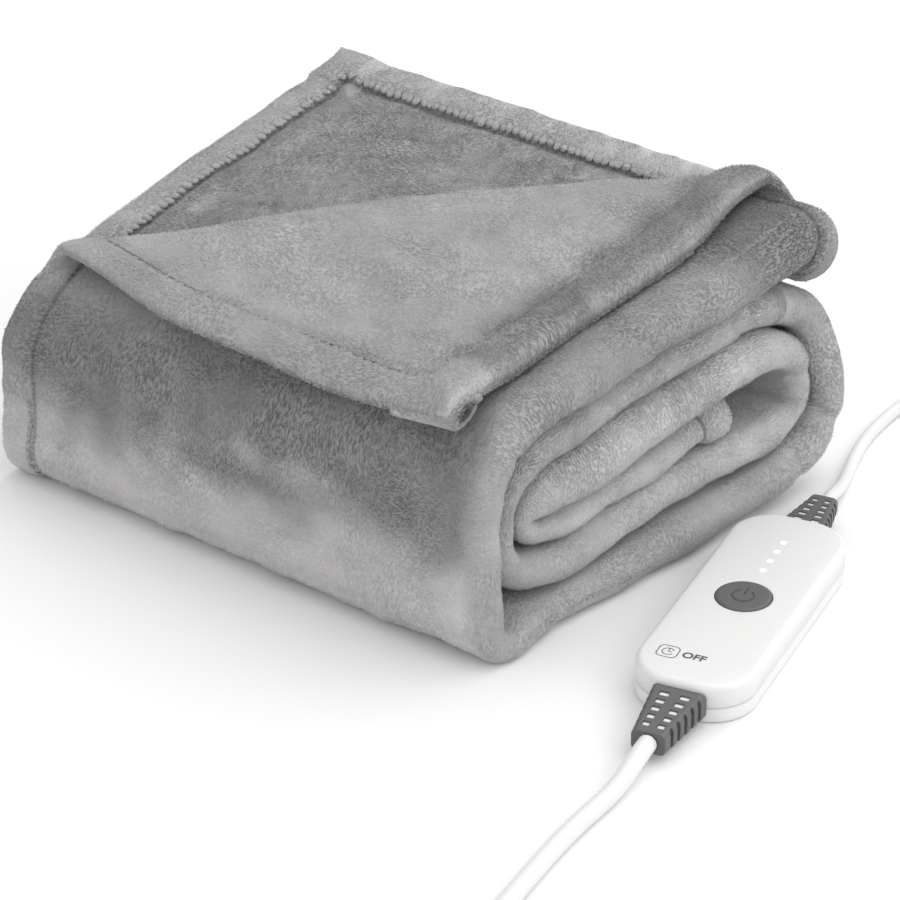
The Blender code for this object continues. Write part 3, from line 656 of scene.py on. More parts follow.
ROLL = (
    # top band, from the free end to the front
    Turn(0.1010, 0.1200, 0.0250, 0.146),
    Turn(0.0975, 0.1275, 0.0240, 0.147),
    Turn(0.0900, 0.1330, 0.0240, 0.148),
    Turn(0.0750, 0.1365, 0.0245, 0.149),
    Turn(0.0580, 0.1365, 0.0245, 0.149),
    Turn(0.0400, 0.1340, 0.0240, 0.149),
    Turn(0.0150, 0.1320, 0.0240, 0.149),
    Turn(-0.0200, 0.1295, 0.0240, 0.149),
    Turn(-0.0550, 0.1255, 0.0240, 0.149),
    Turn(-0.0850, 0.1215, 0.0235, 0.149),
    Turn(-0.1100, 0.1165, 0.0225, 0.149),
    # front wall
    Turn(-0.1280, 0.1070, 0.0194, 0.150),
    Turn(-0.1370, 0.0940, 0.0179, 0.150),
    Turn(-0.1392, 0.0760, 0.0174, 0.150),
    Turn(-0.1392, 0.0540, 0.0174, 0.150),
    Turn(-0.1400, 0.0360, 0.0174, 0.150),
    Turn(-0.1415, 0.0220, 0.0170, 0.150),
    Turn(-0.1400, 0.0125, 0.0150, 0.152),
    Turn(-0.1335, 0.0078, 0.0150, 0.154),
    Turn(-0.1200, 0.0083, 0.0165, 0.154),
    # bottom band
    Turn(-0.0880, 0.0090, 0.0174, 0.151),
    Turn(-0.0500, 0.0092, 0.0174, 0.151),
    Turn(-0.0150, 0.0102, 0.0194, 0.151),
    Turn(0.0200, 0.0110, 0.0214, 0.151),
    Turn(0.0500, 0.0126, 0.0214, 0.151),
    Turn(0.0780, 0.0165, 0.0214, 0.151),
    # back wall
    Turn(0.0970, 0.0245, 0.0204, 0.150),
    Turn(0.1096, 0.0368, 0.0199, 0.149),
    Turn(0.1130, 0.0530, 0.0199, 0.148),
    Turn(0.1095, 0.0690, 0.0199, 0.147),
    Turn(0.1036, 0.0843, 0.0199, 0.146),
    Turn(0.0931, 0.0981, 0.0199, 0.145),
    # second band
    Turn(0.0750, 0.1065, 0.0199, 0.144),
    Turn(0.0500, 0.1095, 0.0194, 0.144),
    Turn(0.0200, 0.1080, 0.0194, 0.143),
    Turn(-0.0150, 0.1043, 0.0194, 0.143),
    Turn(-0.0500, 0.1006, 0.0194, 0.143),
    Turn(-0.0800, 0.0970, 0.0189, 0.143),
    Turn(-0.1020, 0.0920, 0.0174, 0.143),
    Turn(-0.1155, 0.0830, 0.0160, 0.143),
    Turn(-0.1210, 0.0710, 0.0150, 0.143),
    Turn(-0.1215, 0.0570, 0.0150, 0.143),
    Turn(-0.1190, 0.0440, 0.0160, 0.143),
    Turn(-0.1100, 0.0335, 0.0174, 0.143),
    # fourth band
    Turn(-0.0920, 0.0290, 0.0184, 0.143),
    Turn(-0.0600, 0.0286, 0.0184, 0.143),
    Turn(-0.0200, 0.0320, 0.0184, 0.143),
    Turn(0.0200, 0.0345, 0.0194, 0.143),
    Turn(0.0550, 0.0355, 0.0194, 0.143),
    Turn(0.0755, 0.0388, 0.0190, 0.145),
    Turn(0.0876, 0.0480, 0.0176, 0.148),
    Turn(0.0897, 0.0610, 0.0174, 0.149),
    Turn(0.0867, 0.0730, 0.0180, 0.148),
    Turn(0.0775, 0.0815, 0.0200, 0.146),
    # third band
    Turn(0.0645, 0.0843, 0.0240, 0.144),
    Turn(0.0400, 0.0836, 0.0252, 0.142),
    Turn(0.0100, 0.0810, 0.0262, 0.142),
    Turn(-0.0250, 0.0762, 0.0278, 0.142),
    Turn(-0.0550, 0.0726, 0.0296, 0.142),
    Turn(-0.0800, 0.0705, 0.0296, 0.142),
    Turn(-0.0955, 0.0662, 0.0224, 0.142),
    Turn(-0.1028, 0.0577, 0.0120, 0.141),
    Turn(-0.0970, 0.0494, 0.0128, 0.140),
    # core
    Turn(-0.0840, 0.0468, 0.0146, 0.140),
    Turn(-0.0500, 0.0468, 0.0154, 0.140),
    Turn(-0.0150, 0.0498, 0.0162, 0.139),
    Turn(0.0150, 0.0543, 0.0174, 0.138),
    Turn(0.0440, 0.0572, 0.0180, 0.137),
)


class Crease(NamedTuple):
    """A crease across the turns at the near end: its place, half width and depth."""

    v: float
    wide: float
    depth: float


CREASES = (
    Crease(0.1500, 0.0060, 0.0012),
    Crease(0.2030, 0.0045, 0.0016),
    Crease(0.2380, 0.0050, 0.0020),
    Crease(0.3850, 0.0040, 0.0016),
    Crease(0.5600, 0.0035, 0.0018),
    Crease(0.5920, 0.0040, 0.0022),
    Crease(0.6800, 0.0040, 0.0026),
    Crease(0.7120, 0.0035, 0.0016),
    Crease(0.9300, 0.0045, 0.0018),
    Crease(1.1500, 0.0040, 0.0016),
    Crease(1.4200, 0.0050, 0.0018),
    Crease(1.4800, 0.0040, 0.0020),
)


class Side(Enum):
    """The two faces of the cloth: OUT is outside on the roll's outer ply."""

    OUT = 1.0
    IN = -1.0


class Ease(NamedTuple):
    """A smooth step from 0 to 1: where it begins, and over what run. A run below 0
    makes it fall instead, from 1 to 0."""

    begin: float
    run: float

    def at(self, x: Array) -> Array:
        """The step's height at each x."""
        return smooth((x - self.begin) / self.run)


class Wave(NamedTuple):
    """Unevenness of the cloth's faces: its mean wavelength, height and seed."""

    size: float
    height: float
    seed: int


WAVES = (Wave(0.070, 0.0005, 13), Wave(0.028, 0.00032, 11), Wave(0.010, 0.00014, 12))


@dataclass(frozen=True)
class Eases:
    """Where changes in the throw's shape begin, in metres along or across it: the
    straight free end, its curled lobe, the turned-back corner's fold and lie, the
    hems' thickness and the rumpled near end."""

    straight: Ease = Ease(0.0, 0.012)
    curl: Ease = Ease(0.092, 0.045)
    lobe_x: Ease = Ease(0.095, 0.045)
    lobe_v: Ease = Ease(0.0, 0.065)
    front_turn: Ease = Ease(0.0, 0.080)
    back_turn: Ease = Ease(0.280, 0.110)
    bow_fade: Ease = Ease(0.0, 0.090)
    brow: Ease = Ease(0.0, 0.045)
    arch: Ease = Ease(0.270, 0.090)
    flap: Ease = Ease(0.0, 0.020)
    bare: Ease = Ease(0.010, 0.015)
    rolled_under: Ease = Ease(0.0, 0.010)
    lap_v: Ease = Ease(0.030, -0.004)
    lap_u: Ease = Ease(-0.026, 0.004)
    near_x: Ease = Ease(-0.030, 0.032)
    near_v: Ease = Ease(0.02, 0.05)


@dataclass(frozen=True)
class Borders:
    """Where differently toned parts of the pile begin, in metres on the cloth: parts of differently
    laid nap, and of painted shade and painted light.
    """

    hem: Ease = Ease(0.0, 0.004)
    wall: Ease = Ease(0.222, 0.020)
    wall_end: Ease = Ease(0.400, -0.040)
    wall_side: Ease = Ease(0.008, -0.016)
    # where the front wall's painted light towards its foot, and its painted shade at its head,
    # begin
    wall_foot_light: Ease = Ease(0.268, 0.052)
    wall_head_shade: Ease = Ease(0.272, -0.045)
    top_band: Ease = Ease(0.235, -0.020)
    bared: Ease = Ease(0.0, 0.004)
    bared_far: Ease = Ease(0.0, 0.25)
    flap: Ease = Ease(0.0, 0.004)
    strip_v: Ease = Ease(0.036, -0.018)
    strip_u: Ease = Ease(0.024, 0.016)
    lip: Ease = Ease(0.005, -0.003)
    # where the inner bands' painted light begins
    pocket: Ease = Ease(0.93, 0.08)
    # where the end face's faint painted light begins
    end: Ease = Ease(0.38, 0.03)
    # where the lobe's painted shade lies
    lobe_v: Ease = Ease(0.090, -0.030)
    lobe_u: Ease = Ease(-0.060, 0.030)


@dataclass(frozen=True)
class Tones:
    """How much lighter the pile is painted on each part: its nap, with painted shade and painted
    light where marked below.
    """

    plain: float = 0.50
    blot: float = 0.030
    # the front wall: painted shade, most at its head under the flap, and painted light towards its
    # foot
    wall: float = -0.24
    wall_foot_light: float = 0.70
    wall_streak: float = 0.030
    wall_head_shade: float = -0.14
    outer_hem: float = 0.08
    top_band: float = -0.20
    bared: float = -0.12
    bared_hem: float = 0.25
    bared_hem_far: float = 0.15
    flap: float = 0.03
    flap_strip: float = -0.33
    flap_lip: float = 0.12
    flap_hem: float = -0.03
    # painted highlight on the near end's turns
    turn: float = 0.11
    # painted light on the inner bands at the near end
    pocket: float = 0.16
    pocket_blot: float = 0.10
    # faint painted light on the end face by the outer turn
    end: float = 0.02
    # painted shade in the lobe under the flap's strip
    lobe: float = -0.20
    # painted shadow spot under the flap's strip
    shadow_under_flap: float = -0.26


@dataclass
class RolledThrow:
    """The cloth: how it is folded in four, rolled up, and its corner turned back."""

    cloth: float = 0.0040
    ply_gap: float = 0.0004
    hem: float = 0.020
    far_x: float = -0.149
    far_fold_x: float = -0.145
    near_x: float = 0.146
    mean_half: float = 0.0091
    free_end: float = 0.106
    straight_row: int = 4
    straight_rise: float = 0.17
    crease_front: Place = (-0.149, -0.1240)
    crease_back: Place = (0.1430, 0.1060)
    crease_bow: float = 0.013
    tip: Place = (0.137, -0.149)
    turn_front: float = 0.0080
    turn_middle: float = 0.0032
    turn_back: float = 0.0078
    flap_lie: float = 0.0068
    brow_y: float = -0.104
    brow_droop: float = 0.0065
    droop_x: float = 0.068
    droop_reach: float = 0.055
    edge_bulge: float = 0.007
    lean_near: float = 0.085
    lean_far: float = 0.040
    lean_y: float = -0.140
    sag: float = 0.19
    back_y: float = 0.122
    pressed: float = 0.0008
    wall_plump: float = 0.0026
    bare_plump: float = 0.0036
    flap_plump: float = 0.0036
    rumple: float = 0.0011
    lobe_lift: float = 0.0085
    arch: float = 0.0055
    hem_droop: float = 0.0050
    sag_power: float = 1.7
    bow_skew: float = 2.2
    bow_lead: float = 0.080
    bulge_skew: float = 0.5
    bulge_fade: float = 0.050
    settle_run: float = 0.040
    settle_turns: float = 4.0
    droop_over: float = 0.022
    droop_power: float = 1.5
    under_share: float = 0.65
    inner_plump: float = 0.10
    groove_wide: float = 0.0030
    groove_deep: float = 0.0013
    lap: float = 0.0026
    eases: Eases = Eases()
    borders: Borders = Borders()
    tones: Tones = Tones()
    rows: Array = field(default_factory=lambda: np.array(ROLL))

    def __post_init__(self) -> None:
        """Work out the lengths of cloth along the roll and across the fold."""
        self.along = arc_stations(self.rows[:, :2])
        near_turn = math.pi * self.mean_half
        far_turn = near_turn / 3
        outer = self.near_x - self.far_x
        under = self.near_x - self.far_fold_x
        widths = [0.0, outer, near_turn, under, far_turn, under, far_turn, outer]
        self.ends = np.cumsum(widths)
        self.width = float(self.ends[-1])
        self.length = float(self.along[-1])
        self.crease_reach = self.free_end - self.crease_front[1]
        run = np.subtract(self.crease_back, self.crease_front)
        self.crease_length = float(np.linalg.norm(run))
        self.crease_way = run / self.crease_length
        self.crease_side = np.array([-self.crease_way[1], self.crease_way[0]])
        self.corner_along, self.corner_past = self.from_crease(self.far_x, self.free_end)
        self.tip_along, self.tip_past = self.from_crease(*self.tip)

    def from_crease(self, x: Array, s: Array) -> tuple[Array, Array]:
        """Distance along the crease and past it, towards the corner that turns."""
        dx, ds = x - self.crease_front[0], s - self.crease_front[1]
        along = dx * self.crease_way[0] + ds * self.crease_way[1]
        past = dx * self.crease_side[0] + ds * self.crease_side[1]
        return along, past

    def past_crease(self, u: Array, v: Array, second: bool = False) -> Array:
        """Distance past the crease, on the top ply or on the second, under it."""
        x = self.far_x + self.width - u if second else self.far_x + u
        return self.from_crease(x, self.free_end - v)[1]

    def by_crease(self, u: Array, v: Array) -> Array:
        """Whether cloth is in the top ply, where the crease runs across it."""
        return (u < self.ends[1]) & (v < self.crease_reach + 0.001)

    def inward(self, way: Array, at: Array) -> Array:
        """Across a way on the flat cloth, towards the cloth's middle."""
        across = np.array([-way[1], way[0]])
        middle = np.array([self.width / 2, self.length / 2])
        return across * np.sign(np.dot(across, middle - at.mean(axis=0)))

    def middle(self, v: Array) -> tuple[Array, Array, Array, Array]:
        """Read the roll's middle line.

        Args:
            v: Distance along the cloth from its free end.

        Returns:
            The point, its outward normal, the band's thickness and its near reach.
        """
        row, run = smooth_through(self.rows, self.along, np.clip(v, 0.0, self.length))
        way = unit(run[:, :2])
        normal = np.stack([way[:, 1], -way[:, 0]], axis=1)
        return row[:, :2], normal, row[:, 2], row[:, 3]

    def pressed_cloth(self, thick: Array) -> Array:
        """The cloth's thickness where four plies share this much room."""
        return np.minimum(self.cloth, (thick - 3 * self.ply_gap) / 4)

    def ply(self, u: Array) -> Array:
        """Number of the ply or turn that each u lies in."""
        return np.clip(np.searchsorted(self.ends, u, side="right") - 1, 0, 6)

    def across(self, u: Array, w: Array, thick: Array, reach: Array) -> tuple[Array, Array]:
        """Fold the width in four: straight plies joined by half circles.

        Args:
            u: Distance across the cloth from its outer hem.
            w: Distance from the cloth's middle, towards its outer side.
            thick: The band's thickness.
            reach: X where the plies start to turn.

        Returns:
            X, and the distance from the roll's middle line, outwards.
        """
        outer = thick / 2 - self.pressed_cloth(thick) / 2
        inner = outer / 3
        part = self.ply(u)
        t = (u - self.ends[part]) / np.diff(self.ends)[part]
        angle = math.pi * t
        bend = (outer - inner) / 2 + w
        middle = (outer + inner) / 2
        x = [
            self.far_x + t * (reach - self.far_x),
            reach + (outer + w) * np.sin(angle),
            reach + t * (self.far_fold_x - reach),
            self.far_fold_x - bend * np.sin(angle),
            self.far_fold_x + t * (reach - self.far_fold_x),
            reach + (inner - w) * np.sin(angle),
            reach + t * (self.far_x - reach),
        ]
        out = [
            outer + w,
            (outer + w) * np.cos(angle),
            -outer - w,
            -middle - bend * np.cos(angle),
            -inner + w,
            -(inner - w) * np.cos(angle),
            inner - w,
        ]
        return np.choose(part, x), np.choose(part, out)

    def rolled(self, u: Array, v: Array, w: Array) -> Array:
        """Place cloth that is folded in four and rolled, with its free end straight
        away from the near end: the roll's middle line plus the fold's distance."""
        point, normal, thick, reach = self.middle(v)
        x, out = self.across(u, w, thick, reach)
        place = point + normal * out[:, None]
        run = self.along[self.straight_row] - v
        turn = ROLL[self.straight_row]
        rise = self.straight_rise
        straight_y = turn.y + run - rise * out
        straight_z = turn.z + rise * run * run / self.along[self.straight_row]
        straight = np.stack([straight_y, straight_z + out], axis=1)
        share = (1.0 - self.eases.curl.at(x)) * self.eases.straight.at(run)
        place = place + (straight - place) * share[:, None]
        round_turn = smooth((self.ends[2] - u) / (self.ends[2] - self.ends[1]))
        lift = self.eases.lobe_x.at(x) * (1.0 - self.eases.lobe_v.at(v)) * round_turn
        place[:, 1] += self.lobe_lift * lift
        return np.stack([x, place[:, 0], place[:, 1]], axis=1)

    def leaned(self, places: Array) -> Array:
        """Lean the roll, sink its front far corner and press its underside flat."""
        x, y, z = places.T
        near = (x - self.far_x) / (self.near_x - self.far_x)
        depth = np.clip((y - self.lean_y) / (self.back_y - self.lean_y), 0.0, 1.0)
        front = (1.0 - depth) ** self.sag_power
        lean = self.lean_far + (self.lean_near - self.lean_far) * near
        x = x + (y - self.lean_y) * lean
        z = z * (1.0 - self.sag * np.clip(1.0 - near, 0.0, 1.0) * front)
        z = np.where(z < self.pressed, 0.0, z)
        return np.stack([x, y, z], axis=1)

    def bow(self, along: Array) -> Array:
        """How far the crease bows towards the corner that turns back."""
        share = np.clip(along / self.crease_length, 0.0, 1.0)
        return self.crease_bow * np.sin(math.pi * share**self.bow_skew)

    def turn_radius(self, along: Array) -> Array:
        """Radius of the turned-back ply's fold, larger at both ends of the crease."""
        front = (self.turn_front - self.turn_middle) * (1.0 - self.eases.front_turn.at(along))
        back = (self.turn_back - self.turn_middle) * self.eases.back_turn.at(along)
        return self.turn_middle + front + back

    def turned_back(self, u: Array, v: Array, w: Array) -> Array:
        """Place cloth past the crease: round a half circle, then back over its own
        ply and over the brow of the front wall, where its hem droops."""
        eases = self.eases
        along, past = self.from_crease(self.far_x + u, self.free_end - v)
        bowed = self.bow(along)
        foot_x = self.crease_front[0] + along * self.crease_way[0] + bowed * self.crease_side[0]
        foot_s = self.crease_front[1] + along * self.crease_way[1] + bowed * self.crease_side[1]
        foot = self.rolled(foot_x - self.far_x, self.free_end - foot_s, 0.0 * w)
        radius = self.turn_radius(along)
        bend = np.clip(past / radius, 0.0, math.pi)
        run = (radius - w) * np.sin(bend)
        rise = radius - (radius - w) * np.cos(bend)
        over = np.clip(past - math.pi * radius, 0.0, None)
        reach = over * (-self.tip_past / (self.corner_past - math.pi * radius))
        drift = self.tip_along - self.corner_along
        shift = drift * over / (self.corner_past - math.pi * radius)
        side = run - reach - bowed * eases.bow_fade.at(over)
        flat_x = foot[:, 0] + side * self.crease_side[0] + shift * self.crease_way[0]
        flat_y = foot[:, 1] + side * self.crease_side[1] + shift * self.crease_way[1]
        span = self.tip[0] - self.crease_front[0]
        share = np.clip((flat_x - self.crease_front[0]) / span, 0.0, 1.0)
        edge_y = self.crease_front[1] + share * (self.tip[1] - self.crease_front[1])
        inside = np.clip(flat_y - edge_y, 0.0, None)
        bulge = np.sin(math.pi * share**self.bulge_skew) * np.exp(-inside / self.bulge_fade)
        flat_y = flat_y - self.edge_bulge * bulge
        below_y = np.maximum(flat_y, self.brow_y)
        below = self.rolled(flat_x - self.far_x, self.free_end - below_y, 0.0 * w)
        shape = bump_at(flat_x - self.droop_x, self.droop_reach)
        brow = below[:, 2] - self.brow_droop * shape * eases.brow.at(self.brow_y - flat_y)
        settle = smooth(over / (self.settle_run + self.settle_turns * radius))
        arch = self.arch * eases.arch.at(along)
        lying = brow + self.flap_lie + arch + np.abs(w) - self.cloth / 2 - w
        standing = foot[:, 2] + rise
        z = np.where(over > 0.0, standing + (lying - standing) * settle, standing)
        at_hem = np.clip(1.0 - u / self.droop_over, 0.0, 1.0)
        z = z - self.hem_droop * at_hem**self.droop_power * settle
        return np.stack([flat_x, flat_y, z], axis=1)

    def edge_distance(self, u: Array, v: Array) -> Array:
        """Distance to the nearest cut edge of the cloth."""
        return np.minimum.reduce([u, self.width - u, v, self.length - v])

    def half_thickness(self, u: Array, v: Array, side: Side) -> Array:
        """Half the cloth's thickness on one side: plump hems, a groove at their
        stitch line and soft unevenness, all held back where plies lie on each other.

        Args:
            u: Distance across the cloth.
            v: Distance along the cloth.
            side: Which face of the cloth.

        Returns:
            Distance from the middle of the cloth to that face.
        """
        _, _, thick, _ = self.middle(v)
        cloth = self.pressed_cloth(thick)
        spare = (thick - cloth) / 3 - cloth
        eases = self.eases
        flap = eases.flap.at(self.past_crease(u, v)) * self.by_crease(u, v)
        bare = eases.bare.at(self.past_crease(u, v, second=True)) * (u > self.ends[6])
        outside = (u < self.ends[2]) * 1.0 if side is Side.OUT else bare
        open_air = np.maximum(flap, outside)
        edge = self.edge_distance(u, v)
        across_hem = np.clip((edge - self.hem / 2) / (self.hem / 2), -1.0, 1.0)
        plump = np.sqrt(np.clip(1.0 - across_hem**2, 0.0, 1.0))
        room = self.inner_plump * spare
        rolled_under = self.under_share * eases.rolled_under.at(v - u) * (side is Side.IN)
        flap_size = self.flap_plump * (1.0 - rolled_under)
        for share, size in ((outside, self.wall_plump), (bare, self.bare_plump), (flap, flap_size)):
            room = room + (size - room) * share * (share > 0.0)
        groove = bump_at(edge - self.hem, self.groove_wide) * self.groove_deep * open_air
        lapped = bare * eases.lap_v.at(v) * eases.lap_u.at(u - self.width)
        waves = sum(ripple(u, v, wave.size, wave.seed) * wave.height for wave in WAVES)
        swell = room * plump * (1.0 + (0.18 - 0.12 * flap) * ripple(u, v, 0.040, 14))
        waves = waves * open_air * (1.0 - 0.6 * flap)
        return cloth / 2 + swell + self.lap * lapped - groove + waves

    def fold(self, u: Array, v: Array, w: Array) -> Array:
        """Place the cloth: roll it, turn its corner back, then lean it.

        Args:
            u: Distance across the cloth from its outer hem.
            v: Distance along the cloth from its free end.
            w: Distance from the cloth's middle, towards its outer side.

        Returns:
            (n, 3) places.
        """
        along, past = self.from_crease(self.far_x + u, self.free_end - v)
        top_ply = (u <= self.ends[1] + 1e-9) & (v <= self.crease_reach + 0.001)
        moved = self.bow(along) * smooth(1.0 + past / self.bow_lead) * top_ply
        places = self.rolled(u + moved * self.crease_side[0], v - moved * self.crease_side[1], w)
        turns = (past > 0.0) & top_ply
        places[turns] = self.turned_back(u[turns], v[turns], w[turns])
        near = self.eases.near_x.at(places[:, 0] - self.near_x) * self.eases.near_v.at(v)
        uneven = ripple(v, 0.0 * v, 0.085, 21) + 0.45 * ripple(v, 0.0 * v, 0.024, 22)
        places[:, 0] += near * self.rumple * uneven
        for crease in CREASES:
            places[:, 0] -= near * crease.depth * bump_at(v - crease.v, crease.wide)
        return self.leaned(places)

    def brush(self, u: Array, v: Array, side: Side) -> Array:
        """How light the pile is painted: its nap, with painted shade and painted light.

        Each part of the throw has its own lightness; soft waves spread its border
        and mottle it, and hems that show are lighter, the end hem's strip darker.
        The front wall gets painted shade at its head, under the flap, and painted
        light towards its foot. The turns get a painted highlight, the inner bands and
        the end face get painted light, and the lobe and a spot under the flap's strip
        get painted shade.

        Args:
            u: Distance across the cloth.
            v: Distance along the cloth.
            side: Which face of the cloth.

        Returns:
            Lightness from 0 to 1.
        """
        e, tones, borders = self.ends, self.tones, self.borders
        blot = np.tanh(1.8 * ripple(u, v, 0.070, 31)) * 0.6 + ripple(u, v, 0.030, 32) * 0.35
        hem = borders.hem.at(self.hem - self.edge_distance(u, v))
        tone = tones.plain + tones.blot * blot
        if side is Side.OUT:
            # the front wall: painted shade, most at its head under the flap, and painted light
            # towards its foot, with soft streaks
            wall = borders.wall.at(v) * borders.wall_end.at(v) * borders.wall_side.at(u - e[1])
            streak = ripple(0.30 * u, v, 0.034, 33)
            foot = borders.wall_foot_light.at(v + 0.010 * blot + 0.004 * streak)
            streaked = tones.wall_streak * streak * (0.4 + foot)
            tone = tone + wall * (tones.wall + tones.wall_foot_light * foot + streaked)
            tone = tone + tones.wall_head_shade * wall * borders.wall_head_shade.at(v)
            tone = tone + tones.outer_hem * hem * (u < 0.5 * self.width)
            tone = tone + tones.top_band * borders.top_band.at(v) * (u < e[2])
        past_second = self.past_crease(u, v, second=True)
        bared = borders.bared.at(past_second) * (u > e[6]) * (side is Side.IN)
        paler = tones.bared_hem + tones.bared_hem_far * borders.bared_far.at(self.width - u)
        tone = tone + bared * (tones.bared + paler * hem)
        on_corner = (u < e[1]) * (v < self.crease_reach)
        flap = borders.flap.at(self.past_crease(u, v)) * on_corner
        strip = borders.strip_v.at(v) * borders.strip_u.at(u)
        parts = tones.flap + tones.flap_strip * strip + tones.flap_lip * borders.lip.at(v)
        tone = tone + flap * (parts + tones.flap_hem * hem)
        # painted highlight on the outer and inner turns at the near end
        turn = bump_at(u - (e[1] + e[2]) / 2, 0.016)
        inner_turn = bump_at(u - (e[5] + e[6]) / 2, 0.012)
        tone = tone + tones.turn * np.maximum(turn, inner_turn)
        # painted light on the inner bands, and faint painted light on the end face by the outer
        # turn
        tone = tone + borders.pocket.at(v) * (tones.pocket + tones.pocket_blot * blot)
        tone = tone + tones.end * (borders.end.at(v) * bump_at(u - e[1], 0.045))
        # painted shade in the lobe under the flap's strip, and a painted shadow spot under that
        # strip
        lobe = borders.lobe_v.at(v) * borders.lobe_u.at(u - e[1])
        lobe = lobe * (u < e[2]) * (side is Side.OUT)
        shadow_under_flap = bump_at(u - 0.268, 0.026) * bump_at(v - 0.032, 0.014)
        tone = tone + tones.lobe * lobe + tones.shadow_under_flap * shadow_under_flap * (side is Side.OUT)
        return np.clip(tone, 0.0, 1.0)

    def on_face(self, u: Array, v: Array, side: Side) -> tuple[Array, Array, Array]:
        """Places on a face of the cloth, with its normal and the way v runs.

        Args:
            u: Distance across the cloth.
            v: Distance along the cloth.
            side: Which face.

        Returns:
            Places, outward normals and unit headings along v.
        """
        half = self.half_thickness(u, v, side)
        step = 0.0012

        def at(du: float, dv: float, lift: float = 0.0) -> Array:
            """Place a little further along."""
            return self.fold(u + du, v + dv, side.value * (half + lift))

        here = at(0.0, 0.0)
        heading = at(0.0, step) - at(0.0, -step)
        normal = np.cross(at(step, 0.0) - at(-step, 0.0), heading)
        up = at(0.0, 0.0, step) - here
        normal = normal * np.sign((normal * up).sum(axis=1, keepdims=True))
        return here, unit(normal), unit(heading)

    def spread_rows(self, start: float, end: float, count: int) -> Array:
        """Stations along the roll, closer where its middle line turns sharply."""
        v = np.linspace(start, end, 1200)
        _, normal, _, _ = self.middle(v)
        bend = np.linalg.norm(np.gradient(normal, v, axis=0), axis=1)
        weight = 1.0 + np.minimum(bend * 0.035, 2.2)
        weight = np.convolve(np.pad(weight, 12, "edge"), np.ones(25) / 25, "valid")
        total = np.concatenate([[0.0], np.cumsum((weight[1:] + weight[:-1]) / 2)])
        return np.interp(np.linspace(0.0, total[-1], count), total, v)

    def stations(self) -> tuple[Array, Array]:
        """Grid of the cloth: the crease runs through its corners, and the open parts,
        the hems and the turns are finer.

        Returns:
            Stations across and along the cloth.
        """
        t = np.linspace(0.0, 1.0, 93)
        share = t - 0.30 * np.sin(math.tau * t) / (math.tau)
        rim = np.array([0.0020, 0.0048])
        share = np.unique(np.concatenate([share, rim, 1.0 - rim]))
        e, near = self.ends, 0.030
        second_hem = np.linspace(e[7] - 1.15 * self.hem, e[7], 9)
        across = [share * (self.crease_back[0] - self.far_x), np.linspace(e[1], e[2], 12)]
        spans = (
            (e[2], e[2] + near, 8),
            (e[2] + near, e[3], 11),
            (e[3], e[4], 4),
            (e[4], e[5] - near, 11),
            (e[5] - near, e[5], 8),
            (e[5], e[6], 6),
            (e[6], second_hem[0], 33),
        )
        across += [np.linspace(*span)[1:] for span in spans]
        across.append(np.sort(np.append(second_hem[1:], [e[7] - 0.0018, e[7] - 0.0007])))
        wall_end, end_hem = 0.330, self.length - 1.15 * self.hem
        down = [
            np.sort(self.crease_reach * (1.0 - share)),
            np.linspace(self.crease_reach, wall_end, 27)[1:],
            self.spread_rows(wall_end, end_hem, 120)[1:],
            np.linspace(end_hem, self.length, 6)[1:],
        ]
        return np.concatenate(across), np.concatenate(down)

    def build(self) -> Piece:
        """Make the closed sheet: two folded faces of one grid, joined round the rim.

        Returns:
            The cloth, with its flat coordinates in the UV map Cut.
        """
        across, down = self.stations()
        columns, rows = len(across), len(down)
        v, u = (a.ravel() for a in np.meshgrid(down, across, indexing="ij"))
        places, tones = [], []
        for side in Side:
            places.append(self.fold(u, v, side.value * self.half_thickness(u, v, side)))
            # each point's lightness: the pile's nap, with painted shade and painted light
            tones.append(self.brush(u, v, side))
        quads = grid_faces(rows, columns, closed=False)
        split = np.concatenate([quads[:, [0, 1, 3]], quads[:, [1, 2, 3]]])
        count = rows * columns
        first, last = np.arange(columns), np.arange(columns) + (rows - 1) * columns
        left = np.arange(rows) * columns
        rim = np.concatenate([first, left[1:] + columns - 1, last[::-1][1:], left[::-1][1:-1]])
        after = np.roll(rim, -1)
        low_half = np.stack([rim, after, after + count], 1)
        band = np.concatenate([low_half, np.stack([rim, after + count, rim + count], 1)])
        faces = np.concatenate([split, split[:, ::-1] + count, band])
        uv = np.tile(np.stack([u, v], 1), (2, 1))[faces]
        edge = np.sign(np.stack([u - self.width / 2, v - self.length / 2], 1))
        on_edge = np.stack([(u <= 0.0) | (u >= self.width), (v <= 0.0) | (v >= self.length)], 1)
        past_edge = self.cloth * (edge * on_edge)[band % count]
        uv[-len(band):] += past_edge * (band >= count)[..., None]
        throw = make_mesh("throw", np.concatenate(places), faces, uv)
        close_up(throw)
        keep_brush_and_shade(throw, np.concatenate(tones))
        return throw

    def dress(self, throw: Piece, finish: PlushFinish) -> None:
        shows_from = self.ends[1] - 0.030
        plush = finish.on_cut("plush", self.width, self.length, self.hem, shows_from)
        fit(throw, "throw", "grey_plush", plush, "blanket")


# --------------------------------------------------------------------- hem seams
@dataclass(frozen=True)
class SeamRun:
    """A stretch of hem seam that shows: from one place on the cloth to another."""

    start: Place
    end: Place
    side: Side
    plump: float = 1.0


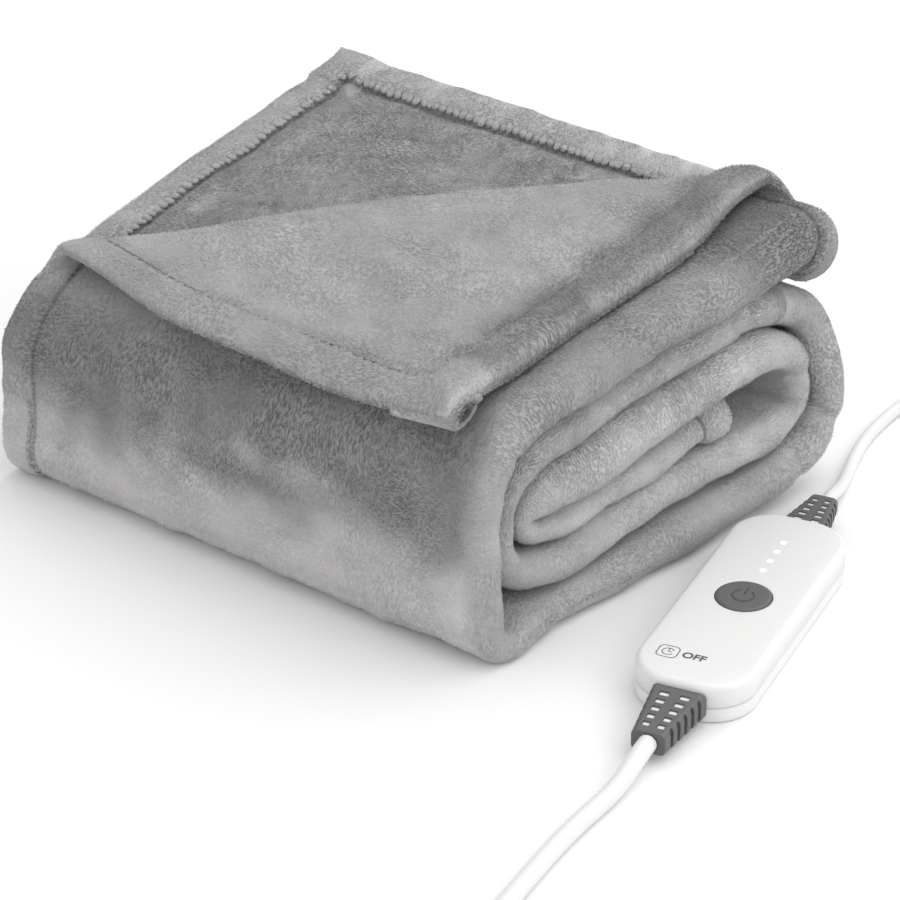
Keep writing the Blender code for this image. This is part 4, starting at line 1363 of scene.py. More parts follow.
@dataclass
class HemSeams:
    """The puckered pile along the hems' stitch lines, and the corner's hem end."""

    throw: RolledThrow
    pitch: float = 0.0042
    bead: tuple[float, float, float] = (0.0030, 0.0024, 0.0013)
    offset: float = 0.0024
    end_length: float = 0.028
    end_sheet: float = 0.0012
    end_turns: float = 1.9
    end_shrink: float = 0.36
    end_high: float = 0.0064

    def runs(self) -> list[SeamRun]:
        """The seams that show: on the turned-back corner, on the ply that it bares,
        on the roll's far end and round the near end of the top ply."""
        cloth = self.throw
        hem, e = cloth.hem, cloth.ends
        return [
            SeamRun((hem, hem), (hem, 0.216), Side.IN, 0.32),
            SeamRun((e[7] - hem, hem), (e[7] - hem, 0.215), Side.IN),
            SeamRun((e[6] + 0.006, hem), (e[7] - hem, hem), Side.IN, 1.15),
            SeamRun((hem, 0.290), (hem, 0.560), Side.OUT, 0.50),
            SeamRun((e[1] + 0.0185, 0.358), (e[1] + 0.0160, 0.450), Side.OUT, 0.40),
        ]

    def hem_end(self) -> Piece:
        """Make the rolled end of the front hem at the turned-back corner: a thin
        sheet along a flattened spiral round the hem, for the hem's last stretch.

        Returns:
            The closed piece.
        """
        cloth, step = self.throw, 0.002
        phi = np.linspace(0.0, math.tau * self.end_turns, 76)
        shrink = 1.0 - self.end_shrink * phi / (math.tau)
        across = cloth.hem / 2 + (cloth.hem / 2 + 0.0016) * shrink * np.cos(phi)
        out = self.end_high * shrink * np.sin(phi) - 0.0012
        path = np.stack([across, out], axis=1)
        way = unit(np.gradient(path, axis=0))
        side = np.stack([-way[:, 1], way[:, 0]], axis=1) * self.end_sheet
        section = np.concatenate([path + side, (path - side)[::-1]])
        u, inside = section[:, 0], np.clip(section[:, 0], 0.0, None)
        past_edge = np.clip(u, None, 0.0)[:, None]
        rings = []
        for v in np.linspace(self.end_length, -0.0022, 14):
            held = np.full(len(u), max(v, 0.0))
            base = cloth.fold(inside, held, 0.0 * u)
            up = unit(cloth.fold(inside, held, 0.0 * u - 0.001) - base)
            aside = unit(base - cloth.fold(inside + step, held, 0.0 * u))
            onward = unit(base - cloth.fold(inside, held + step, 0.0 * u))
            ease = 1.0 - 0.10 * smooth(np.array((v - 0.024) / 0.006))
            place = base + up * section[:, 1:2] * ease - aside * past_edge
            rings.append(place + onward * max(-v, 0.0))
        return loft("corner_hem_end", np.array(rings))

    def build(self) -> Piece:
        """Make every pucker as a small lump that leans over its stitch line.

        Returns:
            One piece with all the puckers.
        """
        draw = np.random.default_rng(5)
        around, down = np.linspace(0.0, math.tau, 9)[:-1], np.linspace(0.0, math.pi, 6)
        t, p = np.meshgrid(down, around, indexing="ij")
        ball = np.stack([np.sin(t) * np.cos(p), np.sin(t) * np.sin(p), np.cos(t)], -1)
        ball = ball.reshape(-1, 3)
        places = []
        for run in self.runs():
            start, end = np.array(run.start), np.array(run.end)
            count = int(np.linalg.norm(end - start) / self.pitch)
            share = (np.arange(count) + 0.5 + draw.uniform(-0.15, 0.15, count)) / count
            at = start + (end - start) * share[:, None]
            way = (end - start) / np.linalg.norm(end - start)
            inward = self.throw.inward(way, at)
            u, v = (at - inward * self.offset).T
            base, normal, _ = self.throw.on_face(u, v, run.side)
            beside, _, _ = self.throw.on_face(u + way[0] * 0.001, v + way[1] * 0.001, run.side)
            tangent = unit(beside - base)
            side = np.cross(normal, tangent)
            skew = draw.normal(0.35, 0.18, count)[:, None]
            first = tangent * np.cos(skew) + side * np.sin(skew)
            size = np.array(self.bead) * draw.uniform(0.75, 1.2, (count, 3)) * run.plump
            size[:, 0] = self.pitch * draw.uniform(0.48, 0.66, count)
            size[:, 1] *= 1.5
            axes = ((1, first), (0, np.cross(normal, first)), (2, normal))
            lump = sum(
                ball[None, :, a : a + 1] * (size[:, None, i : i + 1] * axis[:, None, :])
                for i, (a, axis) in enumerate(axes)
            )
            places.append((lump + base[:, None, :]).reshape(-1, 3))
        places = np.concatenate(places)
        step = np.arange(len(places) // len(ball))[:, None, None] * len(ball)
        seams = make_mesh("hem_puckers", places, (grid_faces(6, 8) + step).reshape(-1, 4))
        close_up(seams, weld=True)
        return seams


# -------------------------------------------------------------------------- pile
@dataclass(frozen=True)
class PilePatch:
    """A field of pile: a range across the cloth, one along it, and its face."""

    name: str
    across: Place
    down: Place
    side: Side


class Tufts(NamedTuple):
    """Tufts: (n, 4, 3) corners with the tip last, (n, 2) flat places, (n,) tones."""

    corners: Array
    flat: Array
    tone: Array


@dataclass
class Pile:
    """Short tufts that stand on the cloth's faces and lean the way it was brushed."""

    throw: RolledThrow
    pitch: float = 0.00108
    height: float = 0.0014
    foot: float = 0.00036
    root: float = 0.0002
    lean: float = 0.85
    rim_wide: float = 0.0065
    clear: float = 0.0004
    most: int = 64000

    def patches(self) -> list[PilePatch]:
        """The faces that show: the outer turn of the roll and its near end, the
        turned-back corner and the ply that it bares."""
        cloth = self.throw
        e, reach = cloth.ends, cloth.crease_reach
        return [
            PilePatch("top", (0.0, e[2]), (0.0, 0.225), Side.OUT),
            PilePatch("wall", (0.0, e[2]), (0.225, 0.385), Side.OUT),
            PilePatch("back", (0.0, e[1]), (0.56, 0.66), Side.OUT),
            PilePatch("end", (e[1] - 0.014, e[2] + 0.010), (0.385, cloth.length), Side.OUT),
            PilePatch("corner", (0.0, e[1]), (0.0, reach), Side.IN),
            PilePatch("bared", (e[6], e[7]), (0.0, reach), Side.IN),
        ]

    def shows(self, patch: PilePatch, u: Array, v: Array) -> Array:
        """Whether each place isn't hidden behind the turned-back corner."""
        cloth = self.throw
        if patch.name == "bared":
            return cloth.past_crease(u, v, second=True) > 0.006
        over = (cloth.past_crease(u, v) > 0.0) & (u < cloth.ends[1]) & (v < cloth.crease_reach)
        return over if patch.side is Side.IN else ~over

    def cones(
        self, base: Array, normal: Array, lie: Array, tip: Array, flat: Array, tone: Array
    ) -> Tufts:
        """Stand three-sided cones on their feet, without those at the floor.

        Args:
            base: Where they stand.
            normal: Outward from the cloth.
            lie: The way each leans over the cloth.
            tip: Their tips.
            flat: (n, 2) places on the flat cloth.
            tone: Their lightness.

        Returns:
            The tufts.
        """
        across = np.cross(normal, lie)
        feet = [
            base - normal * self.root + self.foot * (lie * a + across * b)
            for a, b in ((-0.8, 0.0), (0.5, 1.0), (0.5, -1.0))
        ]
        free = tip[:, 2] > self.clear
        return Tufts(np.stack([*feet, tip], axis=1)[free], flat[free], tone[free])

    def on_patch(self, patch: PilePatch, seed: int) -> Tufts:
        """Work out a patch's tufts: three-sided cones on a shaken grid of places.

        Args:
            patch: Where they stand.
            seed: Picks their shake, size and lean.

        Returns:
            The tufts.
        """
        cloth, rim = self.throw, 0.0005
        draw = np.random.default_rng(seed)
        grid = np.meshgrid(*(np.arange(*run, self.pitch) for run in (patch.across, patch.down)))
        u, v = (
            np.clip(a.ravel() + draw.uniform(-0.30, 0.30, a.size) * self.pitch, rim, size - rim)
            for a, size in zip(grid, (cloth.width, cloth.length))
        )
        keep = self.shows(patch, u, v)
        u, v = u[keep], v[keep]
        base, normal, heading = cloth.on_face(u, v, patch.side)
        swing = 0.55 * ripple(u, v, 0.080, 41) + 0.22 * ripple(u, v, 0.014, 42)
        swing = (swing + draw.normal(0.0, 0.22, len(u)))[:, None]
        lie = heading * np.cos(swing) + np.cross(normal, heading) * np.sin(swing)
        lean = (self.lean + 0.25 * ripple(u, v, 0.030, 43))[:, None]
        at_turn = smooth((u - cloth.ends[1] + 0.020) / 0.015)
        short = 1.0 - 0.35 * at_turn * (patch.side is Side.OUT)
        size = (self.height * short * draw.uniform(0.70, 1.20, len(u)))[:, None]
        tip = base + size * (normal * np.cos(lean) + lie * np.sin(lean))
        # the throw's lightness at the tuft: nap, with painted shade and painted light
        tone = cloth.brush(u, v, patch.side) + draw.normal(0.0, 0.03, len(u))
        return self.cones(base, normal, lie, tip, np.stack([u, v], axis=1), tone)

    def on_rim(self, start: Place, end: Place, seed: int) -> Tufts:
        """Work out the tufts on a stretch of the cloth's cut edge.

        Args:
            start: Flat place where the stretch starts, on the edge.
            end: Flat place where it ends.
            seed: Picks their shake, size and lean.

        Returns:
            The tufts.
        """
        cloth = self.throw
        draw = np.random.default_rng(seed)
        run = np.subtract(end, start)
        count = int(np.linalg.norm(run) * self.rim_wide / self.pitch**2)
        flat = np.array(start) + run * draw.uniform(0.0, 1.0, (count, 1))
        u, v = flat.T
        way = cloth.inward(run / np.linalg.norm(run), flat)
        share = draw.uniform(0.0, 1.0, count)
        low = -cloth.half_thickness(u, v, Side.IN)
        w = low + (cloth.half_thickness(u, v, Side.OUT) - low) * share
        base = cloth.fold(u, v, w)
        normal = unit(base - cloth.fold(u + 0.001 * way[0], v + 0.001 * way[1], w))
        lie = unit(np.cross(normal, draw.normal(0.0, 1.0, (count, 3))))
        size = (self.height * draw.uniform(0.5, 1.0, count))[:, None]
        tip = base + size * (0.80 * normal + 0.60 * lie)
        # cut-edge tufts are painted a little lighter: a painted highlight on the rims
        tone = cloth.brush(u, v, Side.IN) + draw.normal(0.03, 0.03, count)
        return self.cones(base, normal, lie, tip, flat, tone)

    def rims(self) -> Tufts:
        """Tufts of all the cut edges that show."""
        e, reach = self.throw.ends, self.throw.crease_reach
        runs = (
            ((0.0, 0.0), (e[2], 0.0)),
            ((0.0, 0.0), (0.0, 0.62)),
            ((e[6], 0.0), (e[7], 0.0)),
            ((e[7], 0.0), (e[7], reach)),
        )
        parts = [self.on_rim(start, end, seed) for seed, (start, end) in enumerate(runs, 71)]
        return Tufts(*(np.concatenate(kind) for kind in zip(*parts)))

    def build(self, material: Material) -> None:
        """Make all the patches, in pieces of limited size."""
        faces = np.array([(0, 1, 3), (1, 2, 3), (2, 0, 3)])
        fields = {p.name: self.on_patch(p, seed) for seed, p in enumerate(self.patches(), 51)}
        fields["rims"] = self.rims()
        for name, tufts in fields.items():
            for part, start in enumerate(range(0, len(tufts.tone), self.most), start=1):
                corners, flat, tone = (a[start : start + self.most] for a in tufts)
                numbers = (faces + np.arange(len(tone))[:, None, None] * 4).reshape(-1, 3)
                uv = np.repeat(flat, 4, axis=0)
                piece = make_mesh(f"pile_{name}_{part}", corners.reshape(-1, 3), numbers, uv)
                keep_brush_and_shade(piece, np.repeat(tone, 4))
                fit(piece, "throw", "grey_plush", material)


# -------------------------------------------------------------------- controller
@dataclass
class Controller:
    """The hand controller: two shells, power button, lights and a plain timer mark."""

    at: Place = (0.2310, -0.0420)
    turn: float = math.radians(104.2)
    length: float = 0.164
    width: float = 0.058
    corner: float = 0.0225
    height: float = 0.0200
    parting: float = 0.0078
    gap: float = 0.0003
    chamfer: float = 0.0006
    top_round: float = 0.0032
    bottom_round: float = 0.0022
    button_radius: float = 0.0135
    button_clear: float = 0.0004
    button_proud: float = 0.0007
    button_foot: float = 0.0018
    well_depth: float = 0.0050
    well_ease: float = 0.0005
    lights_along: tuple[float, ...] = (0.0265, 0.0360, 0.0455, 0.0550)
    light_radius: float = 0.0017
    mark_along: float = -0.0600
    mark_across: float = 0.0145
    word_across: float = 0.0075

    def skin(self, name: str, rings: Sequence[Array]) -> Piece:
        """Loft rings that are in the controller's own axes."""
        return loft(name, turned_to(np.array(rings), self.turn, self.at))

    def outline(self, inset: float, z: float) -> Array:
        """The rounded outline, drawn in by an inset, at one height."""
        size = (self.length - 2 * inset, self.width - 2 * inset, self.corner - inset)
        return at_height(fill_sides(round_box_ring(*size, 14), 23), z)

    def rim(self, size: float, z: float, rising: bool) -> list[Array]:
        """Rings round a quarter-circle rim that ends level at height z."""
        rings = []
        for angle in np.linspace(0.0, math.pi / 2, 7):
            drop = size * (1.0 - math.sin(angle))
            inset = size * (1.0 - math.cos(angle))
            rings.append(self.outline(inset, z - drop if rising else z + drop))
        return rings if rising else rings[::-1]

    def lower_shell(self) -> Piece:
        """Make the lower shell: a flat base, eased rims and a parting chamfer."""
        rings = self.rim(self.bottom_round, 0.0, rising=False)
        rings.append(self.outline(0.0, self.parting - self.chamfer))
        rings.append(self.outline(self.chamfer, self.parting))
        return self.skin("controller_lower", rings)

    def upper_shell(self) -> Piece:
        """Make the upper shell: walls, a round rim, a level face and, drawn in from
        the outline to a circle, the button's well with its floor."""
        low, ease = self.parting + self.gap, self.well_ease
        rings = [self.outline(self.chamfer, low), self.outline(0.0, low + self.chamfer)]
        rings += self.rim(self.top_round, self.height, rising=True)
        face = rings[-1]
        radius = self.button_radius + self.button_clear
        angle = np.arctan2(face[:, 1], face[:, 0])
        way = np.stack([np.cos(angle), np.sin(angle), 0.0 * angle], axis=1)
        brim = way * (radius + ease) + [0.0, 0.0, self.height]
        rings += [face + (brim - face) * share for share in (0.25, 0.5, 0.75, 0.92)]
        well = ((ease, 0.0), (0.15 * ease, 0.25 * ease), (0.0, ease), (0.0, self.well_depth))
        rings += [way * (radius + out) + [0.0, 0.0, self.height - drop] for out, drop in well]
        return self.skin("controller_upper", rings)

    def button(self) -> Piece:
        """Make the power button: a turned disc with a soft rim and a dished top."""
        base = self.height - self.well_depth + self.button_foot
        top, r = self.height + self.button_proud, self.button_radius
        profile = [(r - 0.0004, base), (r, base + 0.0004), (r, top - 0.0008)]
        profile += [(r - 0.0003, top - 0.00025), (r - 0.0009, top), (r * 0.85, top)]
        profile += [(r * 0.6, top - 0.00012), (r * 0.3, top - 0.00022)]
        return self.skin("power_button_cap", [circle(x, z, 64) for x, z in profile])

    def ridge(self, name: str, line: Array, wide: float, low: float, high: float) -> Piece:
        """Make a raised mark: a flat-topped ridge along a line in the top face.

        Args:
            name: Name of the piece.
            line: (n, 2) points in the controller's own axes.
            wide: Width of the ridge.
            low: Height of its foot.
            high: Height of its top.

        Returns:
            The closed ridge.
        """
        way = unit(np.gradient(line, axis=0))
        side = np.stack([-way[:, 1], way[:, 0]], axis=1) * wide / 2
        section = ((-1.0, low), (-0.8, high), (0.8, high), (1.0, low))
        rings = np.array([at_height(line + side * share, z) for share, z in section])
        return self.skin(name, rings.transpose(1, 0, 2))

    def power_sign(self) -> Piece:
        """Make the common power sign on the button: an open ring and a short bar."""
        top = self.height + self.button_proud
        size = (0.0009, top - 0.0004, top + 0.0001)
        gap = math.radians(32)
        angle = np.linspace(gap, math.tau - gap, 48)
        ring = 0.0052 * np.stack([np.cos(angle), np.sin(angle)], axis=1)
        bar = np.stack([np.linspace(0.0018, 0.0070, 6), np.zeros(6)], axis=1)
        return join(self.ridge("power_sign", ring, *size), self.ridge("power_bar", bar, *size))

    def timer_mark(self) -> Piece:
        """Make the plain timer mark: a rounded frame, a dial and two hands."""
        border = round_box_ring(0.0098, 0.0098, 0.0026, 5)
        angle = np.linspace(math.radians(-60), math.radians(240), 30)
        lines = {
            "timer_mark": np.concatenate([border, border[:1]]),
            "dial": 0.0028 * np.stack([np.cos(angle), np.sin(angle)], axis=1),
            "hands": np.array([[0.0028, 0], [0.0014, 0], [0, 0], [0, -0.0010], [0, -0.0020]]),
        }
        middle = np.array([self.mark_along, self.mark_across])
        size = (0.0006, self.height - 0.0002, self.height + 0.00006)
        return join(*(self.ridge(name, line + middle, *size) for name, line in lines.items()))

    def word(self) -> Piece:
        """Make the plain word OFF beside the timer mark, as thin raised letters."""
        curve = bpy.data.curves.new("off_word", "FONT")
        look = {"body": "OFF", "size": 0.0066, "extrude": 0.00012, "offset": 0.00016}
        for key, value in (look | {"align_x": "LEFT", "align_y": "CENTER"}).items():
            setattr(curve, key, value)
        text = put("off_word_curve", curve)
        bpy.context.view_layer.update()
        graph = bpy.context.evaluated_depsgraph_get()
        mesh = bpy.data.meshes.new_from_object(text.evaluated_get(graph))
        bpy.data.objects.remove(text)
        place = Matrix.Translation((*self.at, self.height)) @ Matrix.Rotation(self.turn, 4, "Z")
        local = Matrix.Translation((self.mark_along, self.word_across, 0.0))
        mesh.transform(place @ (local @ Matrix.Rotation(-math.pi / 2, 4, "Z")))
        return put("off_word", mesh)

    def light(self, number: int, along: float) -> Piece:
        """Make one light: a shallow dome, level with the face at its edge."""
        dome = ((1.0, -0.0012), (1.0, 0.0), (0.9, 0.00012), (0.6, 0.00022), (0.25, 0.00027))
        rings = [
            circle(self.light_radius * share, self.height + rise, 32) + [along, 0.0, 0.0]
            for share, rise in dome
        ]
        return self.skin(f"controller_light_{number}", rings)

    def build(self, white: Material, grey: Material, ink: Material, glow: Material) -> None:
        """Make, dress and fit every piece of the controller."""
        fit(self.lower_shell(), "throw", "white_plastic", white, "controller_lower_shell")
        fit(self.upper_shell(), "throw", "white_plastic", white, "controller_upper_shell")
        fit(self.button(), "button", "grey_rubber", grey, "power_button")
        fit(self.power_sign(), "button", "grey_rubber", ink)
        fit(self.timer_mark(), "throw", "grey_rubber", ink)
        fit(self.word(), "throw", "grey_rubber", ink)
        for number, along in enumerate(self.lights_along, start=1):
            fit(self.light(number, along), "throw", "light_lens", glow, f"light_{number}")


class Relief(NamedTuple):
    """A strain relief: foot, direction, length, and sizes at its root and its tip."""

    name: str
    side: float
    length: float
    wide_in: float
    wide_out: float
    high_in: float
    high_out: float
    window: float


RELIEFS = (
    Relief("mains", -1.0, 0.0380, 0.0265, 0.0165, 0.0128, 0.0110, 0.0052),
    Relief("throw", 1.0, 0.0330, 0.0240, 0.0140, 0.0122, 0.0092, 0.0046),
)


def relief_pads(control: Controller, relief: Relief, material: Material) -> None:
    """Show the pale sheath in a strain relief's windows, as small sunk pads.

    Args:
        control: The controller that the relief stands on.
        relief: Its sizes.
        material: The sheath's finish.
    """
    rows, lead_z, sunk, pocket = 5, 0.0100, 0.0008, 0.0020
    signs = (-1.0, 1.0)
    corners = np.array([(x, y, z) for x in signs for y in signs for z in signs])
    quads = [(0, 1, 3, 2), (4, 6, 7, 5), (0, 4, 5, 1), (2, 3, 7, 6), (0, 2, 6, 4), (1, 5, 7, 3)]
    foot = control.length / 2 + control.gap
    pitch = relief.length / (rows + 1)
    places = []
    for row in range(rows):
        along = pitch * (row + 1)
        share = along / relief.length
        wide = relief.wide_in + (relief.wide_out - relief.wide_in) * share
        high = relief.high_in + (relief.high_out - relief.high_in) * share
        half = (pitch * 0.255, 0.46 * relief.window * wide / relief.wide_in, (pocket - sunk) / 2)
        for across in (-0.2 * wide, 0.2 * wide):
            for face in signs:
                z = lead_z + face * (high / 2 - (pocket + sunk) / 2)
                places.append(corners * half + (relief.side * (foot + along), across, z))
    count = np.arange(len(places))[:, None, None] * len(corners)
    local = turned_to(np.concatenate(places), control.turn, control.at)
    pads = make_mesh(f"{relief.name}_relief_pads", local, (np.array(quads) + count).reshape(-1, 4))
    pads.data.polygons.foreach_set("use_smooth", np.zeros(len(pads.data.polygons), bool))
    close_up(pads)
    fit(pads, "throw", "white_sheath", material)


# ------------------------------------------------------------------------- leads
class Winding(NamedTuple):
    """Turns of a coil in winding order: radius from the middle, height, in radii."""

    radius: float
    height: float


@dataclass
class Lead:
    """A free lead: its route from the controller, then its coil, then its end."""

    name: str
    radius: float
    route: tuple[tuple[float, float, float], ...]
    coil_at: Place
    coil_turn: float
    windings: tuple[Winding, ...]
    enter: float
    leave: float
    end: tuple[float, float, float]
    nodes: tuple[str, ...]

    def coil_points(self) -> Array:
        """Points of the coil, wound clockwise from above: the radius and the height
        ease from one turn's to the next's over its last sixth.

        Returns:
            (n, 3) points, 24 to a turn.
        """
        whole = len(self.windings) - 1
        total = whole + (self.enter - self.leave) % 1.0
        turns = np.linspace(0.0, total, int(total * 24) + 1)
        number = np.minimum(turns.astype(int), whole)
        table = np.array(self.windings)
        ease = smooth((turns - number - 0.70) / 0.30)[:, None]
        at = table[number] + (table[np.minimum(number + 1, whole)] - table[number]) * ease
        angle = math.tau * (self.enter - turns)
        r = self.coil_turn + at[:, 0] * self.radius
        x = self.coil_at[0] + r * np.cos(angle)
        y = self.coil_at[1] + r * np.sin(angle)
        return np.stack([x, y, at[:, 1] * self.radius], axis=1)

    def points(self) -> Array:
        """The whole centreline, a point every 2 diameters or closer.

        Returns:
            (n, 3) points from the controller to the lead's end.
        """
        rough = np.concatenate([self.route, self.coil_points()[2:-2], [self.end]])
        stations = arc_stations(rough)
        count = int(stations[-1] / (1.1 * self.radius))
        places, _ = smooth_through(rough, stations, np.linspace(0.0, stations[-1], count))
        places[:, 2] = np.maximum(places[:, 2], 1.02 * self.radius)
        return places

    def build(self, material: Material, far_end: str, with_pieces: Sequence[Piece]) -> Piece:
        """Args:
            material: Its finish.
            far_end: What is on its far end; not used.
            with_pieces: The pieces of that end; not used.

        Returns:
            The lead.
        """
        places = self.points()
        curve = bpy.data.curves.new(self.name, "CURVE")
        curve.dimensions = "3D"
        curve.bevel_depth = self.radius
        curve.bevel_resolution = 4
        curve.use_fill_caps = True
        spline = curve.splines.new("POLY")
        spline.points.add(len(places) - 1)
        flat = np.concatenate([places, np.ones((len(places), 1))], axis=1)
        spline.points.foreach_set("co", flat.ravel())
        spline.use_smooth = True
        lead = fit(put(self.name, curve), "throw", "white_sheath", material, *self.nodes)
        return lead


MAINS = Lead(
    name="mains_cord",
    radius=0.0045,
    route=(
        (0.2607, -0.1592, 0.0100),
        (0.2622, -0.1652, 0.0099),
        (0.2638, -0.1732, 0.0088),
        (0.2660, -0.1850, 0.0063),
        (0.2677, -0.1990, 0.0050),
        (0.2692, -0.2180, 0.0048),
        (0.2720, -0.2400, 0.0048),
        (0.2765, -0.2650, 0.0048),
        (0.2815, -0.2900, 0.0048),
        (0.2862, -0.3180, 0.0048),
        (0.2905, -0.3480, 0.0048),
        (0.2935, -0.3740, 0.0048),
        (0.2945, -0.3975, 0.0048),
    ),
    coil_at=(0.2395, -0.4300),
    coil_turn=0.0460,
    windings=(
        Winding(2.0, 1.06),
        Winding(0.0, 1.06),
        Winding(-2.0, 1.06),
        Winding(-1.0, 2.80),
        Winding(1.0, 2.80),
        Winding(1.9, 2.75),
    ),
    enter=0.0,
    leave=0.75,
    end=(0.2049, -0.4850, 0.0085),
    nodes=("mains_lead", "mains_coil"),
)
THROW_LEAD = Lead(
    name="throw_cord",
    radius=0.00325,
    route=(
        (0.2026, 0.0705, 0.0100),
        (0.2011, 0.0763, 0.0099),
        (0.1990, 0.0840, 0.0085),
        (0.1955, 0.0950, 0.0058),
        (0.1900, 0.1090, 0.0040),
        (0.1820, 0.1290, 0.0036),
        (0.1755, 0.1500, 0.0036),
        (0.1715, 0.1740, 0.0036),
        (0.1702, 0.2000, 0.0036),
        (0.1700, 0.2265, 0.0036),
    ),
    coil_at=(0.20925, 0.2500),
    coil_turn=0.0360,
    windings=(
        Winding(1.0, 1.06),
        Winding(-1.0, 1.06),
        Winding(-0.9, 2.80),
        Winding(0.95, 2.80),
    ),
    enter=0.5,
    leave=0.0,
    end=(0.24855, 0.2258, 0.0060),
    nodes=("blanket_lead", "blanket_lead_coil"),
)


@dataclass(frozen=True)
class Moulding:
    """A moulded end on a lead: a ribbed neck, then a body with eased edges."""

    name: str
    tip: Place
    turn: float
    neck: float
    neck_tip: float
    neck_root: float
    body: float
    wide: float
    high: float
    corner: float
    ribs: int
    rib_depth: float = 0.0009

    def sections(self) -> list[tuple[float, float, float, float]]:
        """Sections from the tip of the neck to the far rim.

        Returns:
            For each, the distance along it, its width, its height and its corner.
        """
        found = []
        for share in np.linspace(0.0, 1.0, self.ribs * 4 + 1):
            size = self.neck_tip + (self.neck_root - self.neck_tip) * share
            size -= self.rib_depth * (0.5 - 0.5 * math.cos(math.tau * self.ribs * share))
            found.append((self.neck * share, size, size, size / 2))
        root = np.array([self.neck_root, self.neck_root, self.neck_root / 2])
        full = np.array([self.wide, self.high, self.corner])
        for share in np.linspace(0.0, 1.0, 9)[1:]:
            grown = root + (full - root) * smooth(share)
            found.append((self.neck + 0.32 * self.body * share, *grown))
        end, ease = self.neck + self.body, self.corner / 3
        for angle in np.linspace(0.0, math.pi / 2, 5):
            inset = ease * (1 - math.cos(angle))
            rim = (self.wide - 2 * inset, self.high - 2 * inset, self.corner - inset)
            found.append((end - ease * (1 - math.sin(angle)), *rim))
        return found

    def build(self) -> Piece:
        """Make it as a loft: the section grows along a smooth step from the neck to
        the body, the neck has rings of ribs, and the far rim is eased.

        Returns:
            The closed piece.
        """
        rings = []
        for along, *size in self.sections():
            ring = round_box_ring(*size, 8)
            run = np.full(len(ring), along)
            rings.append(np.stack([run, ring[:, 0], ring[:, 1] + self.high / 2], 1))
        return loft(self.name, turned_to(np.array(rings), self.turn, self.tip))


PLUG = Moulding(
    "plug", (0.2046, -0.4850), math.pi,
    0.024, 0.0120, 0.0150, 0.032, 0.0250, 0.0170, 0.0040, 5,
)
CONNECTOR = Moulding(
    "throw_connector", (0.24855, 0.2255), -math.pi / 2,
    0.016, 0.0085, 0.0105, 0.030, 0.0190, 0.0120, 0.0018, 4,
)


# ------------------------------------------------------------------------ studio
class Lamp(NamedTuple):
    """A square soft light: where it hangs, its size and its power."""

    name: str
    at: tuple[float, float, float]
    size: float
    power: float


LAMPS = (
    Lamp("key", (0.35, 0.75, 1.7), 2.2, 23.0),
    Lamp("end", (1.5, -0.1, 0.75), 0.9, 6.0),
    Lamp("front", (-0.5, -1.6, 0.5), 1.2, 4.0),
)


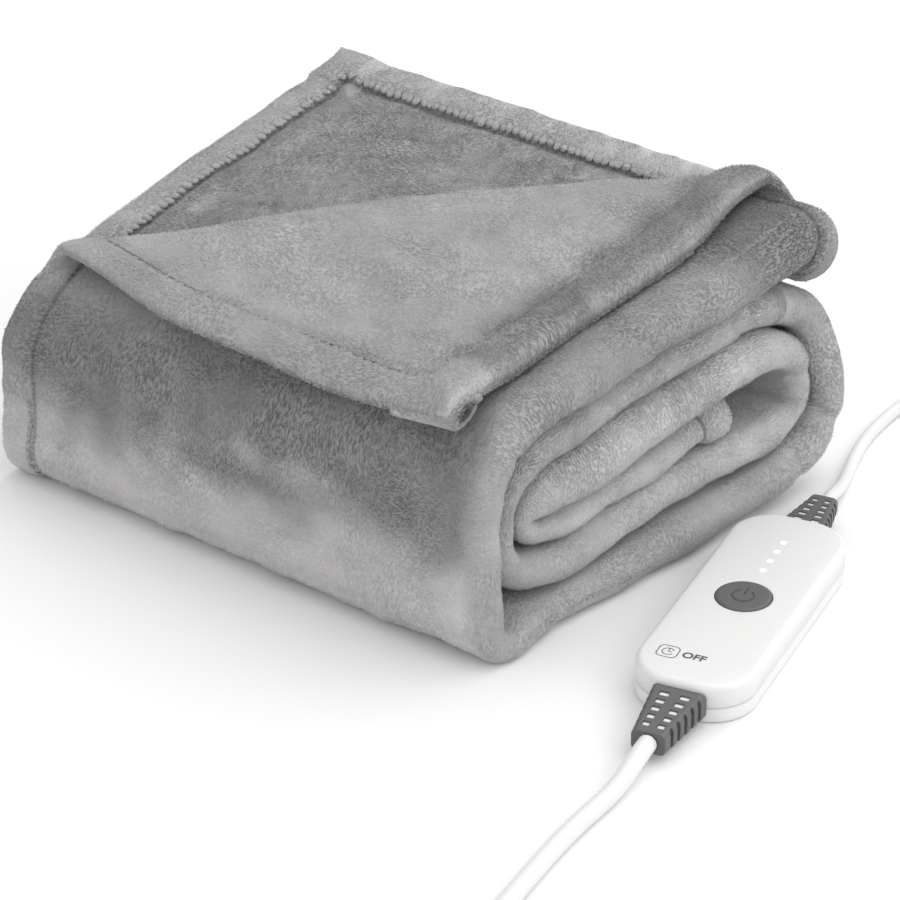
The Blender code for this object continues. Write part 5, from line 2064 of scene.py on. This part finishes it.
@dataclass(frozen=True)
class Studio:
    """White floor, soft light and the camera."""

    position: tuple[float, float, float] = (1.0687, -1.3099, 0.9378)
    heading: float = math.radians(38.68)
    pitch: float = math.radians(29.0)
    lens: float = 150.0
    sensor: float = 36.0
    aim: tuple[float, float, float] = (0.05, 0.0, 0.06)
    sky: float = 0.76

    def camera(self) -> None:
        """Place the camera: forward, right and up from its heading and pitch."""
        cos_p, sin_p = math.cos(self.pitch), math.sin(self.pitch)
        forward = Vector((-math.sin(self.heading) * cos_p, math.cos(self.heading) * cos_p, -sin_p))
        right = Vector((math.cos(self.heading), math.sin(self.heading), 0.0))
        data = bpy.data.cameras.new("camera")
        data.lens, data.sensor_width, data.clip_start = self.lens, self.sensor, 0.05
        camera = put("camera", data)
        turn = Matrix((right, right.cross(forward), -forward)).transposed().to_4x4()
        camera.matrix_world = Matrix.Translation(self.position) @ turn
        bpy.context.scene.camera = camera

    def floor(self) -> None:
        """Lay a plain pale floor under everything."""
        mesh = bmesh.new()
        bmesh.ops.create_grid(mesh, x_segments=1, y_segments=1, size=5.0)
        data = bpy.data.meshes.new("floor")
        mesh.to_mesh(data)
        mesh.free()
        material, w, shader = start("floor")
        pale = {"Base Color": (0.885, 0.885, 0.892, 1.0), "Roughness": 0.6}
        w.feed(shader, pale | {"Specular IOR Level": 0.2})
        data.materials.append(material)
        put("floor", data)

    def light(self) -> None:
        """Light it from above and behind, with a fill in front and a white sky."""
        world = bpy.data.worlds.new("sky")
        world.use_nodes = True
        sky = world.node_tree.nodes["Background"]
        sky.inputs[0].default_value = (1.0, 1.0, 1.0, 1.0)
        sky.inputs[1].default_value = self.sky
        bpy.context.scene.world = world
        for lamp in LAMPS:
            data = bpy.data.lights.new(lamp.name, "AREA")
            data.size, data.energy = lamp.size, lamp.power
            light = put(lamp.name, data)
            light.location = lamp.at
            aim = Vector(self.aim) - light.location
            light.rotation_euler = aim.to_track_quat("-Z", "Y").to_euler()
        bpy.context.scene.view_settings.view_transform = "Standard"


# -------------------------------------------------------------------------- main
def dress_node(node: str, material: Material) -> None:
    """Give a CAD node that stays in view its finish."""
    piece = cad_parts[node]
    if not piece.material_slots:
        piece.data.materials.append(material)
    for slot in piece.material_slots:
        slot.material = material


def main() -> None:
    """Build the studio, the leads, the throw and the controller."""
    studio = Studio()
    studio.camera()
    studio.floor()
    studio.light()

    mould, plush = mould_group(), PlushFinish(pile_group())
    shell = MouldedFinish(mould, "shell_white", (0.73, 0.73, 0.725), 0.38)
    sheath = MouldedFinish(mould, "sheath_white", (0.74, 0.74, 0.73), 0.42, 0.0009).material()
    rubber = MouldedFinish(
        mould, "rubber_grey", (0.105, 0.105, 0.105), 0.50, 0.0007, 0.00005
    ).material()
    ink = MouldedFinish(mould, "mark_grey", (0.070, 0.070, 0.070), 0.55)
    nickel = MetalFinish(mould, "nickel_plate", (0.72, 0.70, 0.66), 0.22).material()
    lens = LensFinish("lens_white", (1.0, 0.99, 0.94), 0.35)

    plug = fit(PLUG.build(), "throw", "white_sheath", sheath, "mains_plug")
    connector = fit(CONNECTOR.build(), "throw", "grey_rubber", rubber, "blanket_connector")
    blades = [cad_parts[f"mains_blade_{number}"] for number in (1, 2)]
    MAINS.build(sheath, "plug", [plug, *blades])
    THROW_LEAD.build(sheath, "connector", [connector])

    throw = RolledThrow()
    cloth = throw.build()
    throw.dress(cloth, plush)
    seams, pucker = HemSeams(throw), plush.on_place("plush_pucker")
    for piece in (seams.build(), seams.hem_end()):
        fit(piece, "throw", "grey_plush", pucker)
    Pile(throw).build(cloth.data.materials[0])

    controller = Controller()
    controller.build(shell.material(), rubber, ink.material(), lens.material())
    for relief in RELIEFS:
        relief_pads(controller, relief, sheath)
    for node in ("mains_relief", "blanket_relief"):
        dress_node(node, rubber)
    for node in ("mains_blade_1", "mains_blade_2"):
        dress_node(node, nickel)


if __name__ == "__main__":
    main()
